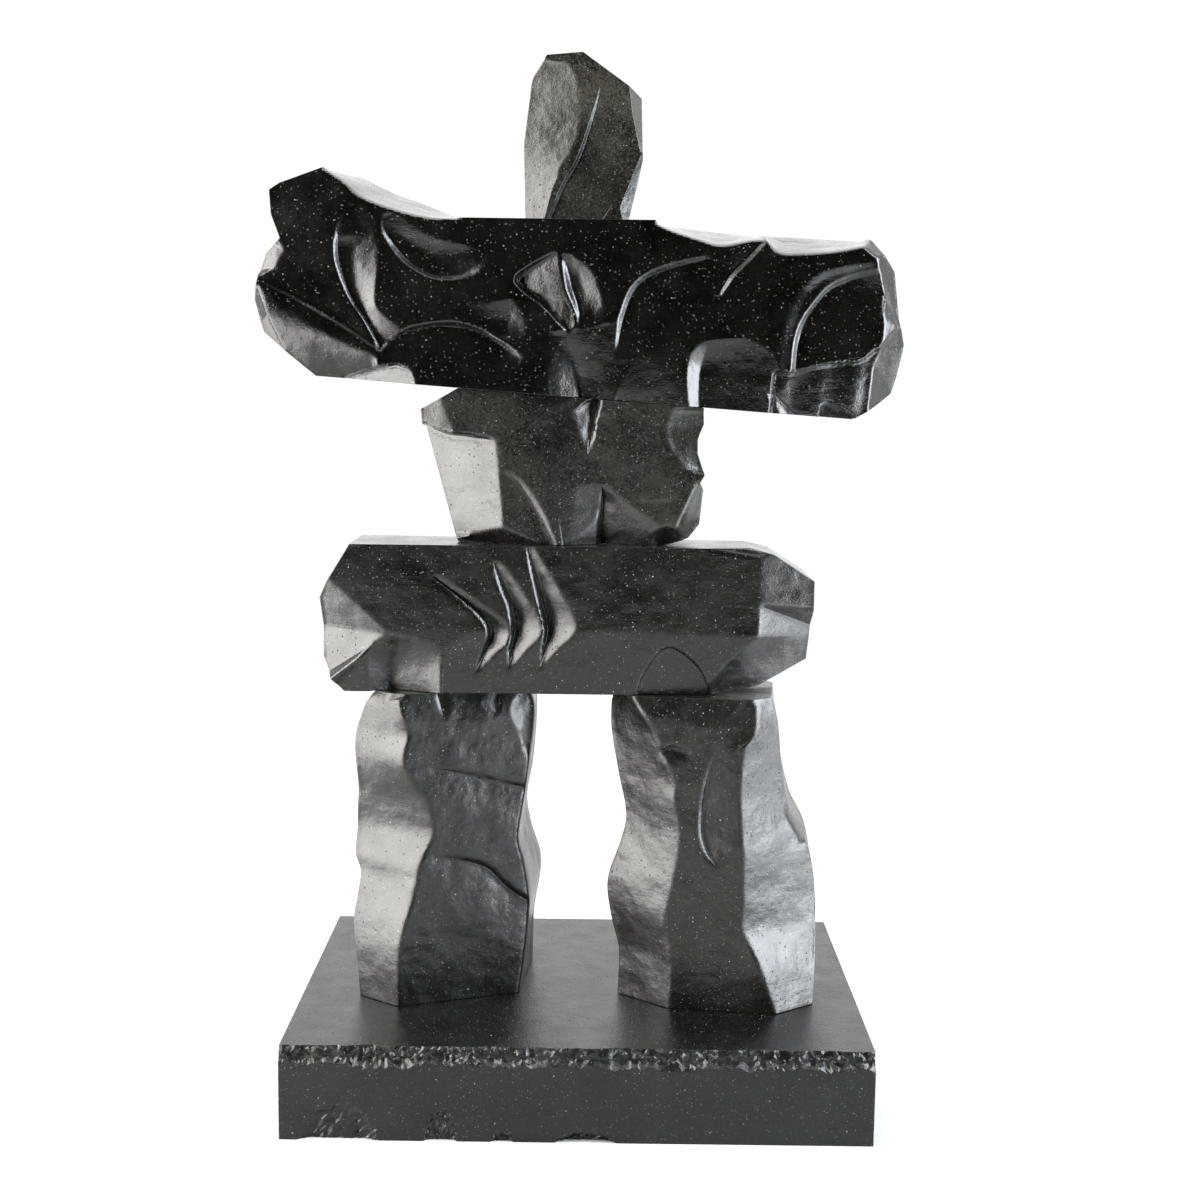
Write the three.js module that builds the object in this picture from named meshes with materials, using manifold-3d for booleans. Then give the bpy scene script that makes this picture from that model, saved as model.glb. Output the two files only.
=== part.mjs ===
// An inukshuk: six carved dark stones stacked as a standing figure on a sawn slab.
// Units are millimetres. +X is to the right of a viewer in front, +Y runs away from the viewer, +Z is up.
// The origin is the middle of the slab's underside.

import * as THREE from 'three';
import { mergeVertices } from 'three/addons/utils/BufferGeometryUtils.js';
import Module from 'manifold-3d';

const wasm = await Module();
wasm.setup();

// The slab: width across, depth front to back, thickness.
const SLAB_WIDTH = 310;
const SLAB_DEPTH = 220;
const SLAB_THICKNESS = 50;

// The rough band along its front top edge: how far it drops and how far it reaches back.
const BAND_DROP = 8;
const BAND_REACH = 4;
const BAND_BITE = 13;

// Flakes broken off the slab's bottom edges: the face, from and to along it, how far up, how deep.
const SLAB_FLAKES = [
  ['front', 1, 16, 47, 3.4],
  ['front', 25, 29.5, 31, 2],
  ['front', 36, 39, 9, 1.2],
  ['front', 46, 57, 13, 3],
  ['back', 22, 34, 40, 3],
  ['back', 70, 76, 22, 2],
];

// Stones rest on each other with this much air between their faceted faces.
const SEAT_GAP = 0.3;

// The legs: one height, because the hip stone lies level on both, and a width each.
const LEG_HEIGHT = 174;
const LEG_DEPTH = 72;
const LEFT_LEG_WIDTH = 90;
const RIGHT_LEG_WIDTH = 118;
const LEG_SPREAD = 148.4;
const LEG_MIDDLE = 3.4;
const LEFT_LEG_TURN = 20.3;
const RIGHT_LEG_TURN = -7;

// The hip stone, the torso, the arm stone and the head.
const HIP_LENGTH = 268;
const HIP_HEIGHT = 81;
const HIP_DEPTH = 72;
const TORSO_LENGTH = 152;
const TORSO_HEIGHT = 83;
const TORSO_DEPTH = 64;
const ARM_LENGTH = 352;
const ARM_HEIGHT = 113;
const ARM_DEPTH = 66;
const ARM_TILT = 3.9;
const HEAD_WIDTH = 64;
const HEAD_HEIGHT = 87;
const HEAD_DEPTH = 46;

// The front of the stack, how far each stone stands back from it, and its middle along X.
const STACK_FRONT = -46;
const LEFT_LEG_SETBACK = 6.6;
const RIGHT_LEG_SETBACK = -5.5;
const TORSO_SETBACK = 3;
const HEAD_SETBACK = 17;
const HIP_MIDDLE = -9;
const TORSO_MIDDLE = -12;
const ARM_MIDDLE = -2.4;
const HEAD_MIDDLE = -3;

// The torso's high corner, across and up, where its slanted seat for the arm stone begins,
// and a point across and up the arm stone on its level seat for the head: per cent of each stone.
const TORSO_SEAT_START = [13, 100];
const HEAD_SEAT_POINT = [39, 80];
const HEAD_SEAT_ENDS = [25.5, 59.5];

// Where the upright flutes stand along the arm stone's right end, per cent of its length.
const ARM_FLUTES = [82.8, 86.4, 90.6];

// How far a cutter stands clear of the stone, and how large a cutter for a whole plane is.
const CLEAR = 30;
const REACH = 900;

const radians = THREE.MathUtils.degToRad;

// One closed solid from a geometry, with its faces turned out. Triangles that merging its doubled
// points has closed up are left out.
function solid(geometry) {
  const bare = new THREE.BufferGeometry();
  bare.setAttribute('position', geometry.getAttribute('position').clone());
  if (geometry.index) bare.setIndex(geometry.index.clone());
  const merged = mergeVertices(bare, 1e-4);
  const points = merged.getAttribute('position').array;
  const corners = Uint32Array.from(openTriangles(merged.index.array));
  if (signedVolume(points, corners) < 0) {
    for (let i = 0; i < corners.length; i += 3) {
      [corners[i + 1], corners[i + 2]] = [corners[i + 2], corners[i + 1]];
    }
  }
  return new wasm.Manifold(new wasm.Mesh({ numProp: 3, vertProperties: points, triVerts: corners }));
}

function openTriangles(index) {
  const kept = [];
  for (let i = 0; i < index.length; i += 3) {
    const [a, b, c] = [index[i], index[i + 1], index[i + 2]];
    if (a !== b && b !== c && c !== a) kept.push(a, b, c);
  }
  return kept;
}

function signedVolume(points, corners) {
  const [a, b, c] = [new THREE.Vector3(), new THREE.Vector3(), new THREE.Vector3()];
  let six = 0;
  for (let i = 0; i < corners.length; i += 3) {
    a.fromArray(points, corners[i] * 3);
    b.fromArray(points, corners[i + 1] * 3);
    c.fromArray(points, corners[i + 2] * 3);
    six += a.dot(b.cross(c));
  }
  return six / 6;
}

// A stone's own frame: its origin is the middle of its front face at its foot. Places on it are
// [across, up, deep], per cent of its length, height and depth.
function onStone(stone, [across, up, deep = 0]) {
  return new THREE.Vector3(
    (across / 100 - 0.5) * stone.length,
    (deep / 100) * stone.depth,
    (up / 100) * stone.height,
  );
}

// The stone's rough block: its front outline carried straight through its depth.
function block(stone, outline) {
  const points = outline.map((place) => onStone(stone, place));
  const shape = new THREE.Shape(points.map((p) => new THREE.Vector2(p.x, p.z)));
  const geometry = new THREE.ExtrudeGeometry(shape, { depth: stone.depth, bevelEnabled: false });
  geometry.rotateX(Math.PI / 2);
  geometry.translate(0, stone.depth, 0);
  return solid(geometry);
}

// A chip taken out of the front or back: an outline whose corners each have their own depth, so
// its floor is one or more ground facets. Seen from the back, across runs the other way.
function chip(stone, corners, side = 'front') {
  const places = corners.map((place) => onStone(stone, place));
  const shape = new THREE.Shape(places.map((p) => new THREE.Vector2(p.x, p.z)));
  const geometry = new THREE.ExtrudeGeometry(shape, { depth: 1, bevelEnabled: false });
  const position = geometry.getAttribute('position');
  for (let i = 0; i < position.count; i += 1) {
    const [x, z] = [position.getX(i), position.getY(i)];
    const corner = places.find((p) => Math.abs(p.x - x) + Math.abs(p.z - z) < 1e-3);
    const y = position.getZ(i) > 0.5 ? corner.y : -CLEAR;
    position.setXYZ(i, x, y, z);
  }
  return solid(side === 'back' ? turnedToBack(stone, geometry) : geometry);
}

// A smooth line of places through a few that are given, for a carved curve.
function curve(places, steps) {
  const points = places.map(([across, up, deep = 0]) => new THREE.Vector3(across, up, deep));
  const line = new THREE.CatmullRomCurve3(points, false, 'centripetal');
  return line.getSpacedPoints(steps).map((p) => [p.x, p.y, p.z]);
}

// A ground hollow between two curves: a wall, where it is cut in deepest, and an edge, where its floor
// comes out. An ease over 1 keeps the floor deep for longer and lets it climb steeply near the edge.
function hollow(stone, wall, edge, { ease = 1, along = 8, across = 3, side = 'front' } = {}) {
  const walls = curve(wall, along);
  const edges = curve(edge, along);
  const geometry = new THREE.BoxGeometry(1, 1, 1, along, 1, across);
  const position = geometry.getAttribute('position');
  for (let i = 0; i < position.count; i += 1) {
    const from = walls[Math.round((position.getX(i) + 0.5) * along)];
    const to = edges[Math.round((position.getX(i) + 0.5) * along)];
    const share = position.getZ(i) + 0.5;
    const point = onStone(stone, [
      THREE.MathUtils.lerp(from[0], to[0], share),
      THREE.MathUtils.lerp(from[1], to[1], share),
      THREE.MathUtils.lerp(from[2], to[2], share ** ease),
    ]);
    position.setXYZ(i, point.x, position.getY(i) > 0 ? -CLEAR : point.y, point.z);
  }
  return solid(side === 'back' ? turnedToBack(stone, geometry) : geometry);
}

function turnedToBack(stone, geometry) {
  geometry.rotateZ(Math.PI);
  geometry.translate(0, stone.depth, 0);
  return geometry;
}

// Everything on the outer side of a plane through a place, for a ground edge.
function shave(stone, place, [right, back, up]) {
  const outward = new THREE.Vector3(right, back, up).normalize();
  const geometry = new THREE.BoxGeometry(REACH, REACH, REACH);
  geometry.translate(0, 0, REACH / 2);
  geometry.applyQuaternion(new THREE.Quaternion().setFromUnitVectors(new THREE.Vector3(0, 0, 1), outward));
  const point = onStone(stone, place);
  geometry.translate(point.x, point.y, point.z);
  return solid(geometry);
}

// A body less all its cutters. Only the stone itself is kept, not a crumb left between two cuts.
function cutAll(body, cutters) {
  const rest = cutters.reduce((left, cutter) => left.subtract(cutter), body);
  return rest.decompose().reduce((stone, piece) => (piece.volume() > stone.volume() ? piece : stone));
}

// An upright stone whose corners are wavy lines from foot to top. Each line lists [up, across, deep].
const PILLAR_STEPS = 26;

function pillar(stone, lines) {
  const follow = lines.map((line) => {
    const heights = line.map(([up]) => up);
    const places = line.flatMap(([, across, deep]) => [across, deep]);
    return new THREE.CubicInterpolant(heights, places, 2, new Float32Array(2));
  });
  const geometry = new THREE.CylinderGeometry(1, 1, 1, lines.length, PILLAR_STEPS);
  const position = geometry.getAttribute('position');
  for (let i = 0; i < position.count; i += 1) {
    const up = (position.getY(i) + 0.5) * 100;
    const turn = Math.atan2(position.getX(i), position.getZ(i)) / (2 * Math.PI);
    const onAxis = Math.hypot(position.getX(i), position.getZ(i)) < 0.5;
    const near = Math.round(turn * lines.length + 2 * lines.length) % lines.length;
    const chosen = onAxis ? follow : [follow[near]];
    const sum = chosen.reduce((total, line) => {
      const [across, deep] = line.evaluate(up);
      return [total[0] + across / chosen.length, total[1] + deep / chosen.length];
    }, [0, 0]);
    const point = onStone(stone, [sum[0], up, sum[1]]);
    position.setXYZ(i, point.x, point.y, point.z);
  }
  return solid(geometry);
}

// The finished sub-part: a flat-shaded mesh standing in its place.
function stoneMesh(name, body, colour, roughness, place = {}) {
  const { vertProperties, triVerts } = body.getMesh();
  const geometry = new THREE.BufferGeometry();
  geometry.setAttribute('position', new THREE.BufferAttribute(new Float32Array(vertProperties), 3));
  geometry.setIndex(new THREE.BufferAttribute(new Uint32Array(triVerts), 1));
  const material = new THREE.MeshStandardMaterial({ color: colour, roughness, metalness: 0, flatShading:
    true });
  const mesh = new THREE.Mesh(geometry, material);
  mesh.name = name;
  mesh.position.set(place.x ?? 0, place.y ?? 0, place.z ?? 0);
  mesh.rotation.set(0, radians(place.tilt ?? 0), radians(place.turn ?? 0));
  return mesh;
}

const HONED_BLACK = 0x2b2b2a;
const SAWN_BLACK = 0x343332;

// The slab, with the rough band bitten out of its front top edge and chips below.
function baseSlab() {
  const slab = { length: SLAB_WIDTH, height: SLAB_THICKNESS, depth: SLAB_DEPTH };
  const body = block(slab, [[0, 0], [100, 0], [100, 100], [0, 100]]);
  const bites = Math.round(SLAB_WIDTH / BAND_BITE);
  const bandDrop = (BAND_DROP / SLAB_THICKNESS) * 100;
  const bandReach = (BAND_REACH / SLAB_DEPTH) * 100;
  const band = [];
  for (let i = 0; i < bites; i += 1) {
    const from = (i / bites) * 100;
    const to = ((i + 1) / bites) * 100;
    const rough = 0.8 + 0.25 * Math.sin(i * 2.4) + 0.15 * Math.sin(i * 5.1);
    const peak = from + (0.5 + 0.3 * Math.sin(i * 3.7)) * (to - from);
    band.push(chip(slab, [
      [from - 0.6, 100 - bandDrop * rough, 0],
      [to + 0.6, 100 - bandDrop * (1.25 - 0.3 * rough), 0],
      [to + 0.6, 103, bandReach * (0.7 + 0.2 * rough)],
      [peak, 103, bandReach * (0.5 + 0.7 * rough)],
      [from - 0.6, 103, bandReach * (0.75 + 0.2 * rough)],
    ]));
  }
  return cutAll(body, [
    ...band,
    shave(slab, [0, 84, 0], [-1, -0.9, 0.5]),
    ...SLAB_FLAKES.map(([side, from, to, up, deep]) => hollow(slab,
      [[from, -8, deep * 0.7], [0.6 * from + 0.4 * to, -8, deep], [to, -8, deep * 0.6]],
      [[from - 1, -5, 0], [0.8 * from + 0.2 * to, 0.75 * up, 0], [0.4 * from + 0.6 * to, up, 0],
        [to + 0.8, -5, 0]], { across: 2, side })),
  ]);
}

// The left leg: a front face between two wavy corners, a chamfer to its left and a flared right side.
function leftLeg(leg) {
  const body = pillar(leg, [
    [[0, 16, 0], [15, 16, 0], [25, 19, 0], [35, 25.5, 0], [46, 30, 0], [54, 38, 0], [60, 37, 0],
      [66.5, 33, 0], [73.5, 23.5, 0], [79, 19, 0], [87, 22.5, 0], [93, 19, 0], [100, 16, 4]],
    [[0, 94, 0], [15, 98, 0], [31, 100, 0], [44, 96.5, 0], [51, 93, 0], [64, 96.5, 0], [83, 101.5, 0],
      [95, 103, 0], [100, 99, 4]],
    [[0, 123, 78], [17, 124, 78], [35, 128, 76], [48, 121.5, 79], [57, 119, 80], [69, 122.5, 79],
      [85, 125, 79], [100, 124, 78]],
    [[0, 96, 100], [30, 101, 97], [55, 94, 101], [75, 98, 98], [100, 94, 99]],
    [[0, 34, 96], [25, 29, 98], [50, 37, 93], [75, 30, 98], [100, 35, 95]],
    [[0, -1.5, 46], [10, -2.5, 46], [24, -4, 46], [33.5, -0.5, 46], [40, 1.5, 47], [45, -1, 45],
      [53, 1, 46], [66.5, 1, 46], [81, -2.5, 46], [90, -0.5, 46], [96, 3, 46], [100, 8, 46]],
  ]);
  return cutAll(body, [
    chip(leg, [[84, 104, 0], [89, 91, 0], [93, 85.5, 0], [98.5, 77, 0], [108, 77, 6], [108, 104, 10]]),
    hollow(leg, [[36, 76.5, 0], [67.6, 72.3, 3.5], [106, 66.5, 5.5]], [[40, 70, 0], [70, 60, 0],
      [108, 52, 0]]),
    hollow(leg, [[40, 47.5, 0], [61, 45, 2.8], [74, 42, 4.5], [87, 35, 5.5], [106, 28, 5.5]],
      [[42, 40, 0], [70, 26, 0], [90, 14, 0], [110, 8, 0]]),
    chip(leg, [[47, 104, 5], [47, 90.5, 0], [58, 89.5, 0], [59, 104, 1]]),
    chip(leg, [[66, 92.5, 0], [80, 91.5, 0], [81, 104, 1], [72, 104, 5]]),
    chip(leg, [[-8, 92, 30], [12, 97.5, 14], [26, 100.5, 0], [26, 106, 0], [-8, 106, 0]]),
    shave(leg, [100, 100, 96], [0.25, 1, 0.5]),
    shave(leg, [34, 8, 98], [-0.1, 1, -0.35]),
    hollow(leg, [[0, 66, 4], [30, 60, 8], [62, 56, 8], [96, 60, 4]], [[0, 40, 0], [34, 30, 0],
      [66, 34, 0], [96, 44, 0]],
      { side: 'back' }),
  ]);
}

// The right leg: a front face between two wavy corners with a long chamfer on either side.
function rightLeg(leg) {
  const body = pillar(leg, [
    [[0, 26, 0], [13, 26.5, 0], [21, 25, 0], [29, 23, 0], [39, 26, 0], [49, 28.5, 0], [57, 29.5, 0],
      [68, 26.5, 0], [73, 27, 0], [80.5, 22.5, 0], [88.5, 17.5, 0], [94.5, 12, 0], [100, 6, 4]],
    [[0, 76, 0], [14.5, 68.5, 0], [21, 63.5, 0], [27, 59.5, 0], [37, 60, 0], [50, 59.5, 0],
      [69, 57.5, 0], [82.5, 58.5, 0], [91, 61.5, 0], [100, 61.5, 4]],
    [[0, 93, 26], [15, 93.5, 32], [35, 92.5, 40], [48, 89.5, 42], [54, 85.5, 40], [61, 80, 37],
      [70, 77, 34],
      [80, 75, 31], [93, 73, 29], [100, 70, 28]],
    [[0, 91, 84], [25, 93, 82], [42, 90, 80], [55, 86, 80], [64, 80, 84], [80, 76, 86], [100, 73, 84]],
    [[0, 62, 100], [28, 58, 98], [50, 63, 96], [75, 57, 100], [100, 60, 97]],
    [[0, 13, 97], [25, 10, 99], [45, 15, 95], [70, 11, 99], [100, 14, 96]],
    [[0, 0, 28], [15, 0.5, 28], [24.5, -3, 28], [35, -5.5, 28], [41, -4.5, 28], [51, 0.5, 28],
      [59.5, 3, 28], [74, -1, 28], [88, -4.5, 28], [97, -4.5, 28], [100, -3, 28]],
  ]);
  return cutAll(body, [
    chip(leg, [[50.5, 104, 0], [48.5, 92.5, 0], [46, 86, 0], [54, 84.5, 1.5], [62.5, 88, 5], [66, 104, 9]]),
    hollow(leg, [[46, 86, 0], [42, 75, 5], [40, 65, 7], [40, 57, 7], [42.5, 51, 5.5], [47, 46.5, 1]],
      [[50, 87, 0], [56, 76, 0], [57, 62, 0], [54, 52, 0], [49, 46, 0]]),
    chip(leg, [[-9, 104, 34], [7.5, 99.5, 0], [-9, 86, 34]]),
    chip(leg, [[18, 79, 0], [20, 88, 2.4], [34, 85, 2.4], [34.5, 78, 0]]),
    chip(leg, [[61, 104, 8], [62, 99.5, 6], [78, 97.5, 28], [84, 104, 40]]),
    shave(leg, [76, 100, 84], [0.8, 0.9, 0.5]),
    shave(leg, [13, 7, 98], [-0.1, 1, -0.35]),
    hollow(leg, [[4, 60, 4], [30, 68, 8], [58, 62, 8], [84, 70, 4]], [[6, 36, 0], [34, 40, 0],
      [62, 30, 0], [86, 42, 0]],
      { side: 'back' }),
  ]);
}

// The hip stone: pointed facets at both ends, a bevel along the bottom and three chevron gouges.
function hipStone(hip) {
  const body = block(hip, [
    [5, 0], [2.5, 9], [0.5, 22.5], [0, 63], [2, 75.5], [6.5, 100], [86.5, 100], [91.5, 96], [100, 77.5],
    [100, 53.5], [99.5, 21.5], [89.5, 4.5], [79, 0],
  ]);
  return cutAll(body, [
    // Left end
    chip(hip, [[1, 79, 0], [14, 39.5, 0], [-5, 43, 36], [-5, 86, 22]]),
    chip(hip, [[14, 39.5, 0], [1, 5, 0], [-5, -2, 20], [-5, 43, 36]]),
    chip(hip, [[1.5, 6.5, 2], [14, 39.5, 0], [18, 39, 0], [17, -5, 9], [2, -5, 10]]),
    hollow(hip, [[18.5, 37, 3], [19.5, 18, 9], [19.5, -5, 13]], [[25.5, 32, 0], [25.3, 14, 3.5],
      [25, -5, 7]]),
    chip(hip, [[17, 39, 0], [20.5, 36.5, 3], [20, -5, 13], [16, -5, 8]]),
    // Bevel along the bottom, and the facets of the right end
    hollow(hip, [[25, -5, 7], [60, -5, 7.5], [104, -5, 10]],
      [[25.5, 30.5, 0], [33, 44, 0], [51.5, 44.5, 0], [77, 42, 0], [104, 38, 1]], { along: 10, across: 1 }),
    chip(hip, [[88.7, 104, 0], [88.7, 62.5, 0], [104, 51, 18], [104, 104, 18]]),
    chip(hip, [[88.5, 40, 0], [88.7, 62.5, 0], [104, 36, 46], [98.5, 40, 26]]),
    chip(hip, [[88.7, 62.5, 0], [104, 56, 20], [104, 36, 46]]),
    chip(hip, [[84, 39, 1], [101, 40, 14], [104, 38, 24], [104, -5, 36], [79, -5, 9]]),
    chip(hip, [[75, 103, 6], [76.5, 100.5, 0], [80.5, 98, 0], [88.5, 95.5, 0], [92, 96.5, 0], [90, 108, 30],
      [78, 108, 24]]),
    // Chevrons
    chip(hip, [[23, 79, 0], [38, 42, 0], [30.5, 3.5, 12], [32.5, 22.5, 12], [34, 47.5, 8]]),
    chip(hip, [[35.5, 88, 0], [44.5, 43.5, 0], [38, 10, 10], [39, 27.5, 15], [39.5, 46, 14]]),
    chip(hip, [[42, 98, 0], [51.5, 45, 0], [44, 11, 10], [45.5, 28, 18], [46, 46, 17]]),
    // The arch hollowed over the right leg
    hollow(hip, [[64, -5, 11], [66, 15, 8], [70.5, 33, 4], [76.5, 19.5, 8], [79.5, -5, 11]],
      [[66, -5, 10], [71, -5, 11], [78, -5, 11]]),
    // Back
    shave(hip, [50, 82, 100], [0.02, 0.6, 1]),
    shave(hip, [50, 12, 100], [-0.03, 1, -0.7]),
    shave(hip, [6, 50, 100], [-1, 0.9, 0.2]),
    shave(hip, [95, 50, 100], [1, 0.8, -0.15]),
    hollow(hip, [[14, 40, 3], [30, 32, 8], [46, 42, 4]], [[16, 62, 0], [32, 72, 0], [48, 58, 0]],
      { side: 'back' }),
    hollow(hip, [[56, 60, 3], [72, 70, 8], [88, 58, 4]], [[58, 36, 0], [74, 30, 0], [88, 40, 0]],
      { side: 'back' }),
  ]);
}

// The torso: a steep white-catching facet to the left and a slanted seat for the arm stone.
function torsoStone(torso) {
  const body = block(torso, [
    [12.5, 0], [11.5, 5.5], [0.5, 75], [0, 86.5], [7, 93.5], TORSO_SEAT_START, [99, 106], [99.5, 79],
    [97.5, 69.5], [97.5, 60], [100, 46.5], [98.5, 41.5], [100, 36], [99.5, 24.5], [99, 13], [95, 4.5],
      [87, 0],
  ]);
  const slope = radians(ARM_TILT);
  return cutAll(body, [
    shave(torso, TORSO_SEAT_START, [Math.sin(slope), 0, Math.cos(slope)]),
    // Left facet, the undercut below it and the small facet above it
    chip(torso, [[-5, 76, 52], [1, 75.5, 44], [9, 70, 30], [17.5, 69, 17], [26.5, 67, 0], [29.5, 11, 0],
      [21, 6, 13],
      [12, 2, 28], [5, -3, 44], [-5, -3, 56]]),
    chip(torso, [[10, -6, 40], [12.5, 1.5, 28], [21, 6.5, 13], [29.5, 11, 0], [47, 1, 0], [48, -6, 6],
      [30, -6, 12]]),
    chip(torso, [[7, 97, 0], [9, 84, 0], [12.5, 73, 0], [4, 71, 6], [-3, 74, 14], [-3, 97, 9]]),
    // Under the arm stone
    chip(torso, [[33, 91, 0], [42, 81.5, 0], [52.5, 85.5, 0], [63, 93, 0], [63, 108, 4], [48, 108, 14],
      [33, 108, 5]]),
    chip(torso, [[52.5, 85.5, 0], [56, 70, 0], [59, 59, 1], [60.5, 75, 8], [62.5, 96, 14]]),
    hollow(torso, [[60.5, 86, 4], [63, 74, 8], [69, 63, 2]], [[66, 84, 0], [70, 74, 0], [71, 64, 0]]),
    // Right of the white facet: the curved step, a dish and the facets below
    hollow(torso, [[28, 48.5, 0], [33.5, 42.5, 3.5], [37.5, 33.5, 5.5], [42.5, 18, 6.5], [47.5, -4, 6.5]],
      [[27.8, 47, 0], [29, 30, 0], [29.5, 11, 1], [30, -4, 2]]),
    hollow(torso, [[47, 35, 0], [48.5, 20, 7], [51, -5, 12]], [[64, 38.5, 0], [64, 20, 0], [63.5, -5, 4]]),
    hollow(torso, [[62, -5, 16], [76, -5, 11], [91, -5, 6]],
      [[64, 38.5, 0], [71, 29.5, 0], [77.5, 22, 0], [84.5, 12.5, 0], [91, 9, 0]], { across: 2 }),
    hollow(torso, [[81, -5, 10], [83, 7, 10], [87, 11, 8], [92, 6, 9], [93, -5, 10]], [[83, -5, 16],
      [91, -5, 16]]),
    // Right edge
    chip(torso, [[91, 18, 0], [95, 31, 0], [98, 42, 0], [104, 42, 14], [104, -5, 26], [90, -5, 8]]),
    chip(torso, [[94.5, 78, 0], [94.5, 58, 0], [104, 56, 18], [104, 80, 16]]),
    // Back
    shave(torso, [50, 78, 100], [0.03, 0.7, 1]),
    shave(torso, [8, 50, 100], [-1, 1, 0.15]),
    shave(torso, [96, 50, 100], [1, 0.9, -0.2]),
    hollow(torso, [[22, 60, 3], [34, 40, 9], [42, 18, 4]], [[40, 74, 0], [58, 54, 0], [64, 26, 0]],
      { side: 'back' }),
  ]);
}

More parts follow.
